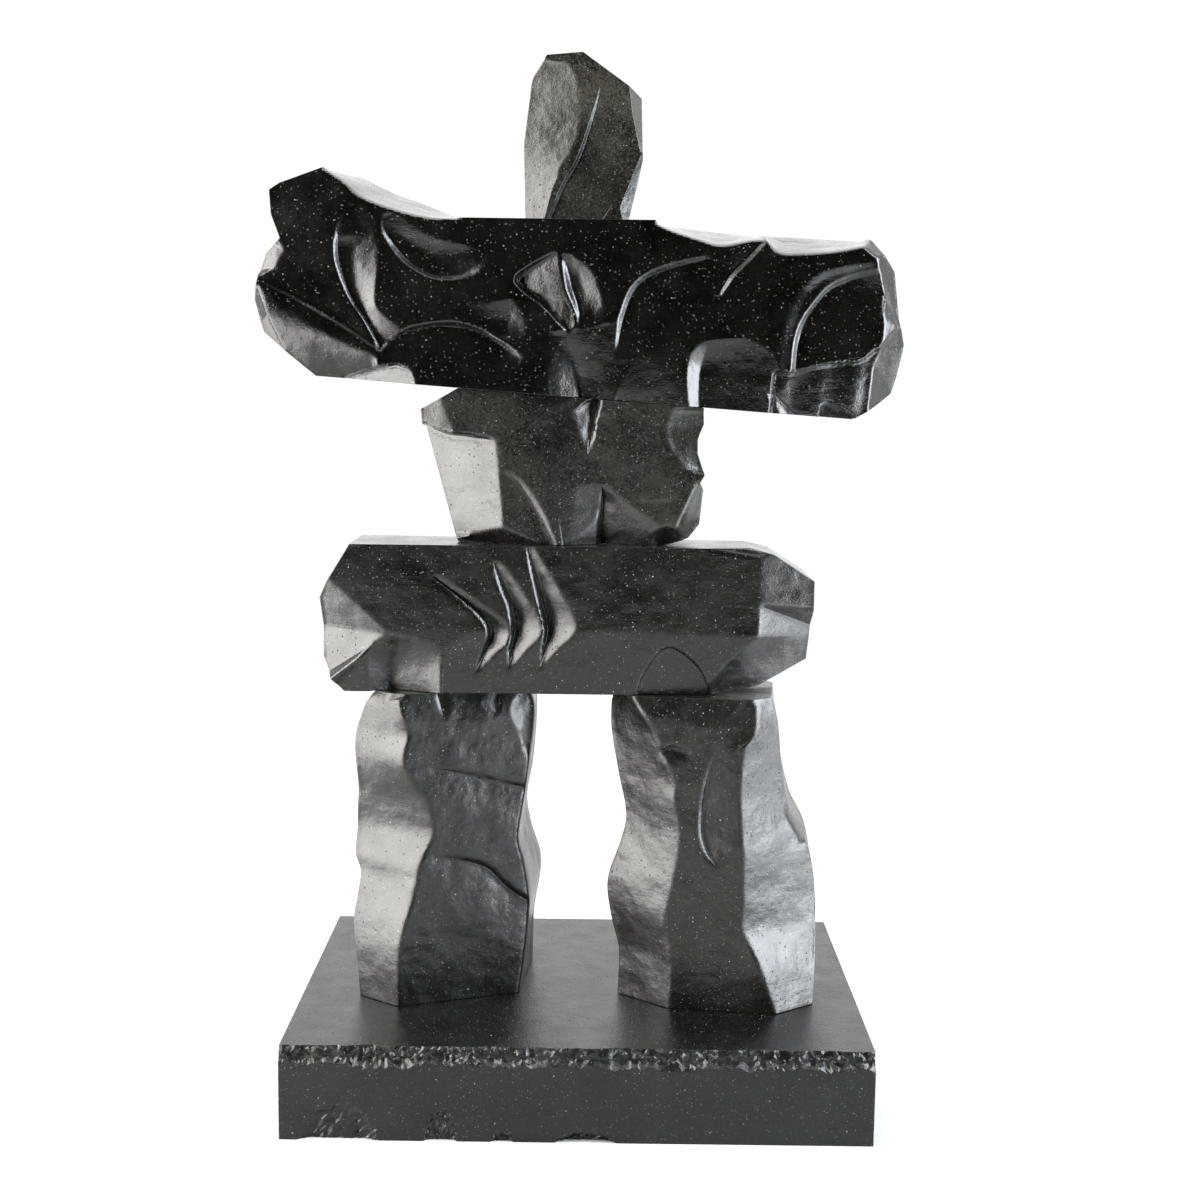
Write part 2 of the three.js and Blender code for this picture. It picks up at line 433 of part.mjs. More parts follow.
// The arm stone: one long stone ground all over in leaf-shaped hollows, deepest at their curved walls.
function armStone(arm) {
  const slope = (Math.tan(radians(ARM_TILT)) * arm.length) / arm.height;
  const level = (across) => HEAD_SEAT_POINT[1] + (across - HEAD_SEAT_POINT[0]) * slope;
  const [seatFrom, seatTo] = HEAD_SEAT_ENDS;
  const body = block(arm, [
    [9.5, 0], [4.5, 11.5], [1.5, 18.5], [0, 33], [0.5, 44], [1.5, 55], [3.5, 62], [2, 72.5], [1.5, 83.5],
    [3, 87], [9.5, 96], [13, 96.5], [19, 89.5], [seatFrom, level(seatFrom)], [seatTo, level(seatTo)],
      [75, 84],
    [91, 85.5], [95.5, 70], [97, 48.5], [98.5, 37], [98, 21], [97.5, 13.5], [95.5, 8.5], [93.5, 4],
      [91.5, 0],
  ]);
  return cutAll(body, [
    // Front top edge
    chip(arm, [[8, 98, 0], [9.5, 95.5, 0], [12.5, 90, 0], [15, 84, 0], [20.5, 79, 0], [25, 76.5, 0],
      [28, 88, 70],
      [19, 98, 80], [12.5, 104, 70]]),
    chip(arm, [[60, 83.5, 0], [65.5, 77, 0], [69, 74.5, 0], [75.5, 79.5, 0], [76, 90, 46], [68, 90, 62],
      [60, 92, 40]]),
    chip(arm, [[75.5, 79.5, 0], [77.5, 74, 0], [80, 73, 0], [83.5, 75, 0], [90, 80, 0], [92, 90, 44],
      [84, 91, 62],
      [76, 90, 44]]),
    // Left leaf and the facets below its ridge
    hollow(arm, [[-1, 44.5, 4], [5.5, 38, 8], [10, 31, 10], [14, 26, 10], [19.5, 16, 6]],
      [[-1, 46, 0], [4.5, 52.5, 0], [8.5, 61.5, 0], [12.3, 61, 3], [19.5, 18, 6]], { ease: 2.2 }),
    hollow(arm, [[-2, 6, 28], [4, -4, 26], [9, -6, 21], [14, -4, 17], [19, 2, 8]],
      [[-2, 42, 1], [3.5, 32.5, 0], [7.5, 25.5, 0], [12.5, 17.5, 0], [18.5, 12, 0]], { across: 2 }),
    chip(arm, [[0.5, 40, 0], [2, 27, 4], [4.5, 11.5, 13], [-2, 4, 32], [-3, 40, 20]]),
    chip(arm, [[12, -4, 22], [13.5, 1.5, 13], [19, 8.5, 3], [23, 11, 0], [25, 6, 2], [27.5, -4, 10]]),
    // Crescent step
    hollow(arm, [[13, 80, 1], [12, 61.5, 8], [12.5, 52.5, 12], [13.5, 44.5, 14], [17, 29, 14],
      [19.8, 16, 8]],
      [[15, 81, 0], [17.5, 70, 0], [18, 59.5, 0], [18, 49, 0], [19, 38, 0], [22.5, 24, 0]], { ease: 2.2 }),
    // Two leaves left of the middle
    hollow(arm, [[19, 15.5, 5], [22.5, 22.5, 8], [28, 28, 10], [32.5, 27.5, 10], [37, 23, 8],
      [40, 16.5, 3]],
      [[20, 22, 0], [21, 35, 0], [26.5, 43, 0], [33.5, 48, 0], [39, 45, 0], [41, 30, 0], [40.4, 17.5, 0]],
      { ease: 2.2 }),
    hollow(arm, [[18, 76.5, 2], [18.5, 67.5, 6], [21.5, 56, 10], [25.5, 50, 10], [30, 48.5, 8],
      [34, 50, 2]],
      [[20, 79, 0], [25.5, 70, 2], [29.5, 68, 1], [33.5, 66, 0], [36.5, 60, 0], [37, 54, 0]],
        { ease: 1.4 }),
    // The peak in the middle and the hollow below it
    hollow(arm, [[41, 26, 5], [45, 31, 12], [48.5, 36, 13]], [[39, 51.5, 0], [42, 60.5, 0], [45, 67.5, 0]]),
    hollow(arm, [[48.5, 36, 13], [51, 34, 10], [54, 28, 4]], [[45, 67.5, 0], [51, 56.5, 0], [54.5, 42, 0]]),
    hollow(arm, [[40.2, 28, 5], [44.6, 33, 12], [48.3, 38, 13], [51.3, 36, 10], [54.6, 30, 4]],
      [[42, -4, 4], [49, -4, 9], [57, -4, 8]]),
    // Large leaf right of the middle
    hollow(arm, [[69.5, 70, 1], [64.5, 66.5, 6], [60, 61, 10], [57, 54.5, 13], [54.5, 40, 14], [54, 26, 10],
      [54, 16, 3]], [[71, 68, 0], [71, 58, 0], [69, 46, 0], [66, 33, 0], [60, 25, 0], [54.6, 15, 0]],
    { ease: 1.8 }),
    hollow(arm, [[75.5, 79, 1], [74.5, 74, 6], [71.5, 64.5, 7], [69, 51, 2]],
      [[73, 77, 0], [70, 70, 0], [67.8, 62, 0], [67.5, 53, 0]]),
    // The upright wall and the bevel beside it
    hollow(arm, [[65, 29.5, 8], [65.2, 12, 12], [66.7, -4, 13]], [[58, 23.5, 0], [54, 14, 1], [56, -4, 8]]),
    hollow(arm, [[65, 29.5, 8], [65.2, 12, 12], [66.7, -4, 13]],
      [[68.5, 30.5, 0], [67.5, 18, 0], [68, 8.5, 1], [69, -4, 2]], { ease: 1.4 }),
    hollow(arm, [[68, -4, 9], [81, -4, 11]],
      [[68, 29, 0], [70.5, 32, 0], [73.5, 32.5, 0], [77, 29, 0], [80, 20, 0]], { across: 2 }),
    // Right leaf: a low step and the deep hollow inside it
    chip(arm, [...curve([[92.5, 73, 0], [88.5, 69.5, 4], [85.5, 66, 5], [83, 61.5, 5], [80.5, 46.5, 5],
      [79.5, 33, 5], [79.5, 22, 3]], 9), [81.2, 19.5, 5], [84, 40, 5], [90, 60, 3]]),
    hollow(arm, [[93.3, 71, 2], [89, 67, 10], [84, 56, 16], [82, 46, 17], [80.7, 30, 14], [81.2, 19.5, 8]],
      [[94, 68, 1], [94, 47.5, 2], [94, 34.5, 2], [91.5, 29, 4], [88, 26.5, 5], [82, 20, 6]],
        { ease: 1.3 }),
    // Right end and the flutes below it
    chip(arm, [[92.5, 76, 0], [93.5, 59, 0], [97.5, 43.5, 9], [103, 42, 20], [103, 80, 20]]),
    chip(arm, [[93.5, 59, 0], [94, 34.5, 0], [103, 40, 44], [97.5, 43.5, 20]]),
    chip(arm, [[94, 34.5, 0], [93.5, 26.5, 0], [93.5, -4, 4], [103, -4, 34], [103, 41, 30]]),
    hollow(arm, [[81, -4, 15], [93.7, -4, 16]],
      [[80, 18.5, 3], [84, 21, 5], [87.5, 25.5, 4], [92, 31, 2], [93.7, 27, 0]], { across: 2 }),
    ...ARM_FLUTES.map((x) => hollow(arm, [[x + 1.2, 26, 4], [x + 1.5, 10, 14], [x + 1.6, -4, 20]],
      [[x - 1.3, 24, 3], [x - 1.5, 10, 9], [x - 1.4, -4, 15]], { along: 3, across: 2 })),
    chip(arm, [[78, 8.5, 4], [80.5, 9, 10], [86, -4, 20], [82, -4, 14]]),
    // Back
    shave(arm, [50, 86, 100], [0.05, 0.5, 1]),
    shave(arm, [50, 10, 100], [-0.04, 1, -0.8]),
    shave(arm, [5, 50, 100], [-1, 0.9, 0.1]),
    shave(arm, [96, 50, 100], [1, 0.8, -0.2]),
    hollow(arm, [[12, 66, 2], [20, 52, 9], [30, 46, 9], [38, 48, 2]], [[14, 72, 0], [24, 76, 0],
      [36, 64, 0], [39, 52, 0]],
      { side: 'back' }),
    hollow(arm, [[44, 34, 2], [48, 50, 10], [56, 62, 10], [66, 64, 2]], [[48, 30, 0], [58, 32, 0],
      [66, 44, 0], [68, 60, 0]],
      { side: 'back' }),
    hollow(arm, [[72, 60, 2], [76, 44, 10], [84, 36, 9], [92, 38, 2]], [[74, 66, 0], [82, 70, 0],
      [90, 60, 0], [93, 44, 0]],
      { side: 'back' }),
  ]);
}

// The head: a pale facet on the left, a curved groove and small facets on the right.
function headStone(head) {
  const body = block(head, [
    [2.5, 0], [0.5, 46.5], [6.5, 82], [8, 86], [19.5, 98], [49, 100], [88, 80], [98, 74], [99.5, 37],
    [95.5, 23.5], [88, 0],
  ]);
  return cutAll(body, [
    hollow(head, [[-6, 108, 26], [-6, 80, 40], [-6, 45, 38], [-6, -4, 26]], [[14, 96.5, 0], [42.5, 91.5, 0],
      [49, 75, 0], [49.3, 56, 0], [45.5, 46, 0], [35, 34, 0], [25.5, 20, 0], [17, -4, 0]],
        { along: 10, across: 2 }),
    hollow(head, [[63.5, 78, 0], [54.5, 53, 7], [46.5, 36.5, 9], [35.5, 22.5, 9], [20.5, -4, 6]],
      [[66, 78, 0], [80, 50, 0], [84, 30, 0], [76, 12, 0], [62, -4, 1]]),
    chip(head, [[87, 83, 0], [90, 65, 0], [97, 42, 0], [104, 38, 16], [104, 86, 30]]),
    chip(head, [[98, 40, 0], [81, 8.5, 0], [85, -4, 8], [104, -4, 32], [104, 38, 10]]),
    chip(head, [[62, -4, 2], [64.5, 0.5, 0], [81, 8.5, 0], [90, -4, 8]]),
    shave(head, [49, 100, 55], [0.1, 0.7, 1]),
    shave(head, [10, 50, 100], [-1, 0.8, 0.1]),
    shave(head, [92, 50, 100], [1, 0.9, 0.2]),
    hollow(head, [[24, 76, 2], [36, 52, 10], [40, 20, 4]], [[50, 84, 0], [70, 56, 0], [72, 24, 0]],
      { side: 'back' }),
  ]);
}

// The stack, from the slab up: each stone's foot is the seat below it and the gap.
const legFoot = SLAB_THICKNESS + SEAT_GAP;
const hipFoot = legFoot + LEG_HEIGHT + SEAT_GAP;
const torsoFoot = hipFoot + HIP_HEIGHT + SEAT_GAP;

// The slanted seat starts at the torso's high corner and falls to the right by the arm stone's tilt.
const seatStartX = TORSO_MIDDLE + (TORSO_SEAT_START[0] / 100 - 0.5) * TORSO_LENGTH;
const seatStartZ = torsoFoot + (TORSO_SEAT_START[1] / 100) * TORSO_HEIGHT;
const armFoot = seatStartZ - (ARM_MIDDLE - seatStartX) * Math.tan(radians(ARM_TILT)) + SEAT_GAP;

// The head's level seat, from the place on the arm stone that it passes through.
const headSeatAcross = (HEAD_SEAT_POINT[0] / 100 - 0.5) * ARM_LENGTH;
const headSeatUp = (HEAD_SEAT_POINT[1] / 100) * ARM_HEIGHT;
const headFoot = armFoot + headSeatUp * Math.cos(radians(ARM_TILT))
  - headSeatAcross * Math.sin(radians(ARM_TILT)) + SEAT_GAP;

const leftLegSize = { length: LEFT_LEG_WIDTH, height: LEG_HEIGHT, depth: LEG_DEPTH };
const rightLegSize = { length: RIGHT_LEG_WIDTH, height: LEG_HEIGHT, depth: LEG_DEPTH };
const hipSize = { length: HIP_LENGTH, height: HIP_HEIGHT, depth: HIP_DEPTH };
const torsoSize = { length: TORSO_LENGTH, height: TORSO_HEIGHT, depth: TORSO_DEPTH };
const armSize = { length: ARM_LENGTH, height: ARM_HEIGHT, depth: ARM_DEPTH };
const headSize = { length: HEAD_WIDTH, height: HEAD_HEIGHT, depth: HEAD_DEPTH };

const sculpture = new THREE.Group();
sculpture.name = 'inukshuk';
sculpture.add(
  stoneMesh('base_slab', baseSlab(), SAWN_BLACK, 0.45, { y: -SLAB_DEPTH / 2 }),
  stoneMesh('left_leg', leftLeg(leftLegSize), HONED_BLACK, 0.35, {
    x: LEG_MIDDLE - LEG_SPREAD / 2, y: STACK_FRONT + LEFT_LEG_SETBACK, z: legFoot, turn: LEFT_LEG_TURN,
  }),
  stoneMesh('right_leg', rightLeg(rightLegSize), HONED_BLACK, 0.35, {
    x: LEG_MIDDLE + LEG_SPREAD / 2, y: STACK_FRONT + RIGHT_LEG_SETBACK, z: legFoot, turn: RIGHT_LEG_TURN,
  }),
  stoneMesh('hip_stone', hipStone(hipSize), HONED_BLACK, 0.35,
    { x: HIP_MIDDLE, y: STACK_FRONT, z: hipFoot }),
  stoneMesh('torso_stone', torsoStone(torsoSize), HONED_BLACK, 0.35, {
    x: TORSO_MIDDLE, y: STACK_FRONT + TORSO_SETBACK, z: torsoFoot,
  }),
  stoneMesh('arm_stone', armStone(armSize), HONED_BLACK, 0.35, {
    x: ARM_MIDDLE, y: STACK_FRONT, z: armFoot, tilt: ARM_TILT,
  }),
  stoneMesh('head_stone', headStone(headSize), HONED_BLACK, 0.35, {
    x: HEAD_MIDDLE, y: STACK_FRONT + HEAD_SETBACK, z: headFoot,
  }),
);

export default sculpture;
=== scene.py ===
# %% [markdown]
# An inukshuk is a figure of stacked stones. This one is ground from black stone: two legs, a hip stone, a
# torso, one long stone for both arms and a head, standing on a sawn slab. Its flat faces and hollows were
# made with a grinding disc, so every form here starts as a block and is cut, the way the stone was.
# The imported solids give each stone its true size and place. This lesson carves them again, finer, and
# gives them the look of honed stone.
# %% Load the frame
import math
import random

import bpy
import numpy as np
from mathutils import Matrix, Vector, noise
from mathutils.bvhtree import BVHTree


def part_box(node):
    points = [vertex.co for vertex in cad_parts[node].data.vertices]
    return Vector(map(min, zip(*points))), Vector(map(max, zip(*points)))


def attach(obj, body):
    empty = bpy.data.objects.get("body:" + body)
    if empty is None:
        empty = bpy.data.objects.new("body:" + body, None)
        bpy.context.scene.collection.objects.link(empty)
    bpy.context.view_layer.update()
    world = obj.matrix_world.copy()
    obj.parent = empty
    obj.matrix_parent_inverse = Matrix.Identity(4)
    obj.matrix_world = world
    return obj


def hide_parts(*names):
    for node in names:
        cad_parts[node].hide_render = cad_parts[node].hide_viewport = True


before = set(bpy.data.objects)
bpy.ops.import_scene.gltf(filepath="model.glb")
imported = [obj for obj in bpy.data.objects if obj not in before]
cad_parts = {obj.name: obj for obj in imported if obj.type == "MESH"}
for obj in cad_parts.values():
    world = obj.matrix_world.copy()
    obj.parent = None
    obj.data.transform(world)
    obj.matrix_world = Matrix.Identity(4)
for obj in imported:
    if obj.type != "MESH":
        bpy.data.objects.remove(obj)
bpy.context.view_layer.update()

# %% [markdown]
# Each stone has its own frame: the middle of its front face at its foot. Places on a stone are written as
# per cent of its length, height and depth, because that is how a carver would point at them, and because
# the carving then follows the stone when its size changes.
# %% The sizes and places of the stones
MM = 0.001

LEG = dict(height=174, depth=72)
STONES = {
    "left_leg": dict(length=90, **LEG, at=(-70.8, -39.4, 50.3), turn=20.3),
    "right_leg": dict(length=118, **LEG, at=(77.6, -51.5, 50.3), turn=-7),
    "hip_stone": dict(length=268, height=81, depth=72, at=(-9, -46, 224.6)),
    "torso_stone": dict(length=152, height=83, depth=64, at=(-12, -43, 305.9)),
    "arm_stone": dict(length=352, height=113, depth=66, at=(-2.4, -46, 384.71), tilt=3.9),
    "head_stone": dict(length=64, height=87, depth=46, at=(-3, -29, 477.83)),
    "base_slab": dict(length=310, height=50, depth=220, at=(0, -110, 0)),
}


def on_stone(stone, place):
    """A place in per cent, in metres in the stone's own frame."""
    across, up = place[0], place[1]
    deep = place[2] if len(place) > 2 else 0
    return Vector((
        (across / 100 - 0.5) * stone["length"],
        deep / 100 * stone["depth"],
        up / 100 * stone["height"],
    )) * MM


for name, stone in STONES.items():
    print(name, "is", stone["length"], "x", stone["depth"], "x", stone["height"], "mm")

# %% [markdown]
# Operators act on whatever is selected, so each piece starts with nothing selected. A new primitive is
# then the only selected thing, and the only one that edit mode opens.
# %% Small helpers for selecting and editing
def fresh():
    if bpy.context.object and bpy.context.object.mode != "OBJECT":
        bpy.ops.object.mode_set(mode="OBJECT")
    bpy.ops.object.select_all(action="DESELECT")


def take(piece):
    """Selects one piece alone, to work on it again."""
    fresh()
    piece.select_set(True)
    bpy.context.view_layer.objects.active = piece


def edit_all():
    bpy.ops.object.mode_set(mode="EDIT")
    bpy.ops.mesh.select_all(action="SELECT")


def done():
    bpy.ops.object.mode_set(mode="OBJECT")
    return bpy.context.object


def close_up():
    """Ends an edit: faces turned out, and cut into triangles, because a bent face can't be cut with."""
    edit_all()
    bpy.ops.mesh.quads_convert_to_tris(quad_method="FIXED", ngon_method="CLIP")
    bpy.ops.mesh.normals_make_consistent(inside=False)
    return done()


# %% [markdown]
# The rough block is the stone's outline, carried straight through its depth. A filled circle with as many
# corners as the outline is laid on it, corner by corner, and extruded.
# %% The block
def ring(count):
    fresh()
    bpy.ops.mesh.primitive_circle_add(vertices=count, fill_type="NGON", radius=1)
    return bpy.context.object


def block(stone, outline):
    piece = ring(len(outline))
    for point, place in zip(piece.data.vertices, outline):
        point.co = on_stone(stone, place)
    edit_all()
    bpy.ops.mesh.extrude_region_move(
        TRANSFORM_OT_translate={"value": (0, stone["depth"] * MM, 0)}
    )
    return close_up()


# %% [markdown]
# Every hollow and facet is cut with a cutter of its own. The cutter's floor is the new face of the stone,
# and it is carried out through the front and closed there, well clear of the stone.
# %% A cutter, and a chip taken out with it
CLEAR = 0.03


def turn_to_back(stone, piece):
    piece.rotation_euler.z = math.pi
    piece.location.y = stone["depth"] * MM
    bpy.ops.object.transform_apply(location=True, rotation=True, scale=False)


def to_front(stone, floor, back=False, split="FIXED"):
    """Carries a cutter's floor straight out through the front of the stone, and closes it there."""
    edit_all()
    bpy.ops.mesh.quads_convert_to_tris(quad_method=split, ngon_method="CLIP")
    bpy.ops.mesh.extrude_region_move(TRANSFORM_OT_translate={"value": (0, 0, 0)})
    bpy.ops.transform.resize(value=(1, 0, 1), center_override=(0, -CLEAR, 0))
    cutter = close_up()
    if back:
        turn_to_back(stone, cutter)
    return cutter


def chip(stone, corners):
    """A cutter whose floor passes through corners that each have their own depth: one or more facets."""
    floor = ring(len(corners))
    for point, place in zip(floor.data.vertices, corners):
        point.co = on_stone(stone, place)
    return to_front(stone, floor)


# %% [markdown]
# A carved curve needs only a few places. A Catmull-Rom spline runs through them, and is then walked along
# in equal steps.
# %% A smooth line
FINE_STEPS = 24


def glide(start, leave, end, arrive, t):
    """Part of the way from start to end, leaving and arriving in the given directions."""
    return (
        start * (2 * t**3 - 3 * t**2 + 1) + leave * (t**3 - 2 * t**2 + t)
        + end * (3 * t**2 - 2 * t**3) + arrive * (t**3 - t**2)
    )


def spline_point(a, b, c, d, t):
    """A point between b and c on a centripetal spline, which doesn't overshoot at a sharp bend."""
    ab = max((b - a).length, 1e-6) ** 0.5
    bc = max((c - b).length, 1e-6) ** 0.5
    cd = max((d - c).length, 1e-6) ** 0.5
    leave = ((b - a) / ab - (c - a) / (ab + bc) + (c - b) / bc) * bc
    arrive = ((c - b) / bc - (d - b) / (bc + cd) + (d - c) / cd) * bc
    return glide(b, leave, c, arrive, t)


def smooth_line(places, steps):
    points = [Vector((p[0], p[1], p[2] if len(p) > 2 else 0)) for p in places]
    before = points[0] * 2 - points[1]
    after = points[-1] * 2 - points[-2]
    line = []
    for a, b, c, d in zip([before] + points, points, points[1:], points[2:] + [after]):
        for i in range(FINE_STEPS):
            line.append(spline_point(a, b, c, d, i / FINE_STEPS))
    line.append(points[-1])
    far = [0.0]
    for a, b in zip(line, line[1:]):
        far.append(far[-1] + (b - a).length)
    walked, k = [], 0
    for i in range(steps + 1):
        goal = far[-1] * i / steps
        while k < len(line) - 2 and far[k + 1] < goal:
            k += 1
        share = (goal - far[k]) / max(far[k + 1] - far[k], 1e-9)
        walked.append(line[k].lerp(line[k + 1], min(max(share, 0), 1)))
    return walked


# %% [markdown]
# A disc ground into a flat face leaves a leaf-shaped hollow. It has a steep wall where the disc went in and
# a floor that climbs to the surface on the other side. A grid is laid between the two lines like a sheet,
# then carried out through the front of the stone, and makes the cutter.
# `slope` is the width of the wall in millimetres. The floor stays deep for the share `flat`, then climbs to
# the edge: evenly, or late with a high `ease`, or dying out softly with a high `fade`. With a `lean` the
# depth follows from the width, so that the whole floor is tilted alike and catches the light from end to
# end. `along` and `across` count the sheet's steps, and `back` turns the cutter round to the back.
# %% A sheet laid through rows of places
def sheet_of(stone, rows):
    fresh()
    across, up = len(rows[0]) - 1, len(rows) - 1
    bpy.ops.mesh.primitive_grid_add(x_subdivisions=across, y_subdivisions=up, size=2)
    sheet = bpy.context.object
    for point in sheet.data.vertices:
        i = round((point.co.x + 1) / 2 * across)
        j = round((point.co.y + 1) / 2 * up)
        point.co = on_stone(stone, rows[j][i])
    return sheet


# %% A hollow, and a row of folds
FULL_WALL = 1.5


def wall_top(stone, a, b, slope):
    """Where the wall reaches the surface. A wall less than FULL_WALL millimetres deep is narrower."""
    step = Vector(((a.x - b.x) * stone["length"], (a.y - b.y) * stone["height"], 0))
    step.normalize()
    share = min(1.0, max(a.z, 0) * stone["depth"] / 100 / FULL_WALL)
    return (
        a.x + step.x * slope * share / stone["length"] * 100,
        a.y + step.y * slope * share / stone["height"] * 100,
        min(a.z, 0) if slope else a.z,
    )


def hollow(stone, wall, edge, slope=0.7, flat=0.0, ease=1.0, fade=1.0, lean=None, along=26, across=12,
           back=False):
    walls, edges = smooth_line(wall, along), smooth_line(edge, along)
    if lean:
        for a, b in zip(walls, edges):
            wide = (on_stone(stone, (a.x, a.y)) - on_stone(stone, (b.x, b.y))).length / MM
            a.z = b.z + wide * lean * (1 - flat) / stone["depth"] * 100
    rows = [[wall_top(stone, a, b, slope) for a, b in zip(walls, edges)]]
    for k in range(across):
        t = k / (across - 1)
        climb = max(0.0, (t - flat) / (1 - flat)) ** ease
        climb = 1 - (1 - climb) ** fade
        rows.append([
            (a.x + (b.x - a.x) * t, a.y + (b.y - a.y) * t, a.z + (b.z - a.z) * climb)
            for a, b in zip(walls, edges)
        ])
    return to_front(stone, sheet_of(stone, rows), back)


def folds(stone, lines, along=30):
    """Straight facets from each line to the next."""
    return to_front(stone, sheet_of(stone, [smooth_line(line, along) for line in lines]))


# %% [markdown]
# A ground edge is a plane. `mesh.bisect` cuts along it, throws away what lies outside, and fills the cut.
# The cutters are taken away with a boolean modifier, one after the other. Its manifold solver is quick and
# exact, and asks for closed meshes.
# %% A ground plane, and cutting with the cutters
def shave(piece, stone, place, outward):
    take(piece)
    edit_all()
    bpy.ops.mesh.bisect(
        plane_co=on_stone(stone, place), plane_no=Vector(outward).normalized(),
        use_fill=True, clear_outer=True,
    )
    return done()


def cut(piece, cutters):
    for cutter in cutters:
        take(piece)
        bpy.ops.object.modifier_add(type="BOOLEAN")
        knife = piece.modifiers[-1]
        knife.object = cutter
        knife.operation = "DIFFERENCE"
        knife.solver = "MANIFOLD"
        bpy.ops.object.modifier_apply(modifier=knife.name)
        bpy.data.objects.remove(cutter)
    return piece


# %% [markdown]
# Honing leaves soft arrises and faces that wave a little. A fine grid of feelers touches the carved front,
# what they felt is softened and made to wave, and the stone is cut back to it by less than a millimetre.
# The feelers stand one `cell` apart, `rounds` says how often the arrises are softened, and what lies deeper
# than `reach` is left as it was ground.
# %% Hone the front
SKIN = 0.0004
WAVES_PER_METRE = 55
SEED_STEP = 7.3


def soften(felt, rounds):
    for _ in range(rounds):
        for axis in (0, 1):
            edged = np.pad(felt, [(1, 1) if k == axis else (0, 0) for k in (0, 1)], mode="edge")
            before = np.delete(edged, [-1, -2], axis)
            after = np.delete(edged, [0, 1], axis)
            felt = (before + 2 * felt + after) / 4
    return felt


def fill_gaps(felt):
    """Carries the felt surface on past the stone's outline, so that the outline stays crisp."""
    while np.isnan(felt).any():
        edged = np.pad(felt, 1, constant_values=np.nan)
        around = np.stack([edged[:-2, 1:-1], edged[2:, 1:-1], edged[1:-1, :-2], edged[1:-1, 2:]])
        known = ~np.isnan(around)
        total = np.where(known, around, 0).sum(0)
        mean = np.where(known.any(0), total / np.maximum(known.sum(0), 1), np.nan)
        felt = np.where(np.isnan(felt), mean, felt)
    return felt


def feel(piece, low, margin, cell, across, up):
    """How deep the piece lies behind each feeler."""
    feeler = BVHTree.FromPolygons(
        [point.co for point in piece.data.vertices], [face.vertices for face in piece.data.polygons]
    )
    felt = np.full((up + 1, across + 1), np.nan)
    for j in range(up + 1):
        for i in range(across + 1):
            start = Vector((low.x - margin + i * cell, -CLEAR / 2, low.z - margin + j * cell))
            touch = feeler.ray_cast(start, Vector((0, 1, 0)))[0]
            if touch:
                felt[j, i] = touch.y
    return felt


def hone(piece, cell=0.001, rounds=2, wave=0.0003, reach=0.04, seed=0):
    low, high = Vector(piece.bound_box[0]), Vector(piece.bound_box[6])
    margin = 4 * cell
    across = round((high.x - low.x + 2 * margin) / cell)
    up = round((high.z - low.z + 2 * margin) / cell)
    felt = soften(fill_gaps(feel(piece, low, margin, cell, across, up)), rounds)
    fresh()
    bpy.ops.mesh.primitive_grid_add(x_subdivisions=across, y_subdivisions=up, size=2)
    sheet = bpy.context.object
    for point in sheet.data.vertices:
        i = round((point.co.x + 1) / 2 * across)
        j = round((point.co.y + 1) / 2 * up)
        x, z = low.x - margin + i * cell, low.z - margin + j * cell
        spot = Vector((x * WAVES_PER_METRE, seed * SEED_STEP, z * WAVES_PER_METRE))
        waving = noise.fractal(spot, 1.0, 2.0, 3) * wave
        deep = felt[j, i]
        point.co = (x, deep + SKIN + waving if deep < reach else deep - 2 * SKIN, z)
    return cut(piece, [to_front(None, sheet)])


# %% [markdown]
# A stone is carved at the origin, then stood in its place. Its place is baked into its mesh, so that the
# pattern of the stone, which is read in object coordinates, can't slide. Points that fell together in the
# cuts are merged. An edge that bends by less than the given angle is shaded soft, and on a crisp stone
# that angle is smaller.
# %% Stand a stone in its place
HONED_BEND, CRISP_BEND = math.radians(40), math.radians(24)
SAME_PLACE, SLIVER = 0.00002, 0.00003
stones = {}


def stand(name, carve, **honing):
    """Carves a stone, hones it where `honing` says how, and stands it in place of its solid."""
    stone = STONES[name]
    piece = carve(stone)
    if honing:
        hone(piece, **honing)
    piece.name = "carved_" + name
    piece.data.name = piece.name
    take(piece)
    edit_all()
    bpy.ops.mesh.remove_doubles(threshold=SAME_PLACE)
    bpy.ops.mesh.dissolve_degenerate(threshold=SLIVER)
    done()
    piece.location = Vector(stone["at"]) * MM
    piece.rotation_euler = (0, math.radians(stone.get("tilt", 0)), math.radians(stone.get("turn", 0)))
    bpy.ops.object.transform_apply(location=True, rotation=True, scale=False)
    bpy.ops.object.shade_smooth_by_angle(angle=HONED_BEND if honing else CRISP_BEND)
    bpy.ops.object.modifier_add(type="WEIGHTED_NORMAL")
    piece.modifiers[-1].keep_sharp = True
    bpy.ops.object.modifier_apply(modifier=piece.modifiers[-1].name)
    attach(piece, "root")
    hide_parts(name)
    stones[name] = piece
    low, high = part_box(name)
    print(name, len(piece.data.polygons), "faces;", "size", [round(v * 1000) for v in piece.dimensions],
          "solid", [round(v * 1000) for v in high - low])


# %% [markdown]
# The legs are upright stones whose corners wander, as if the disc had followed the grain. A ring with one
# point for each corner is extruded upwards in many short steps, and each step's points are then laid on
# the corner lines. A line lists [up, across, deep], and `follow` reads it at any height.
# %% An upright stone
RISES = 58


def follow(line, up):
    for i in range(len(line) - 1):
        if up <= line[i + 1][0]:
            break
    here, there = line[i], line[i + 1]
    before, after = line[max(i - 1, 0)], line[min(i + 2, len(line) - 1)]
    width = there[0] - here[0]
    place = []
    for k in (1, 2):
        leave = (there[k] - before[k]) / (there[0] - before[0]) * width
        arrive = (after[k] - here[k]) / (after[0] - here[0]) * width
        place.append(glide(here[k], leave, there[k], arrive, (up - here[0]) / width))
    return place


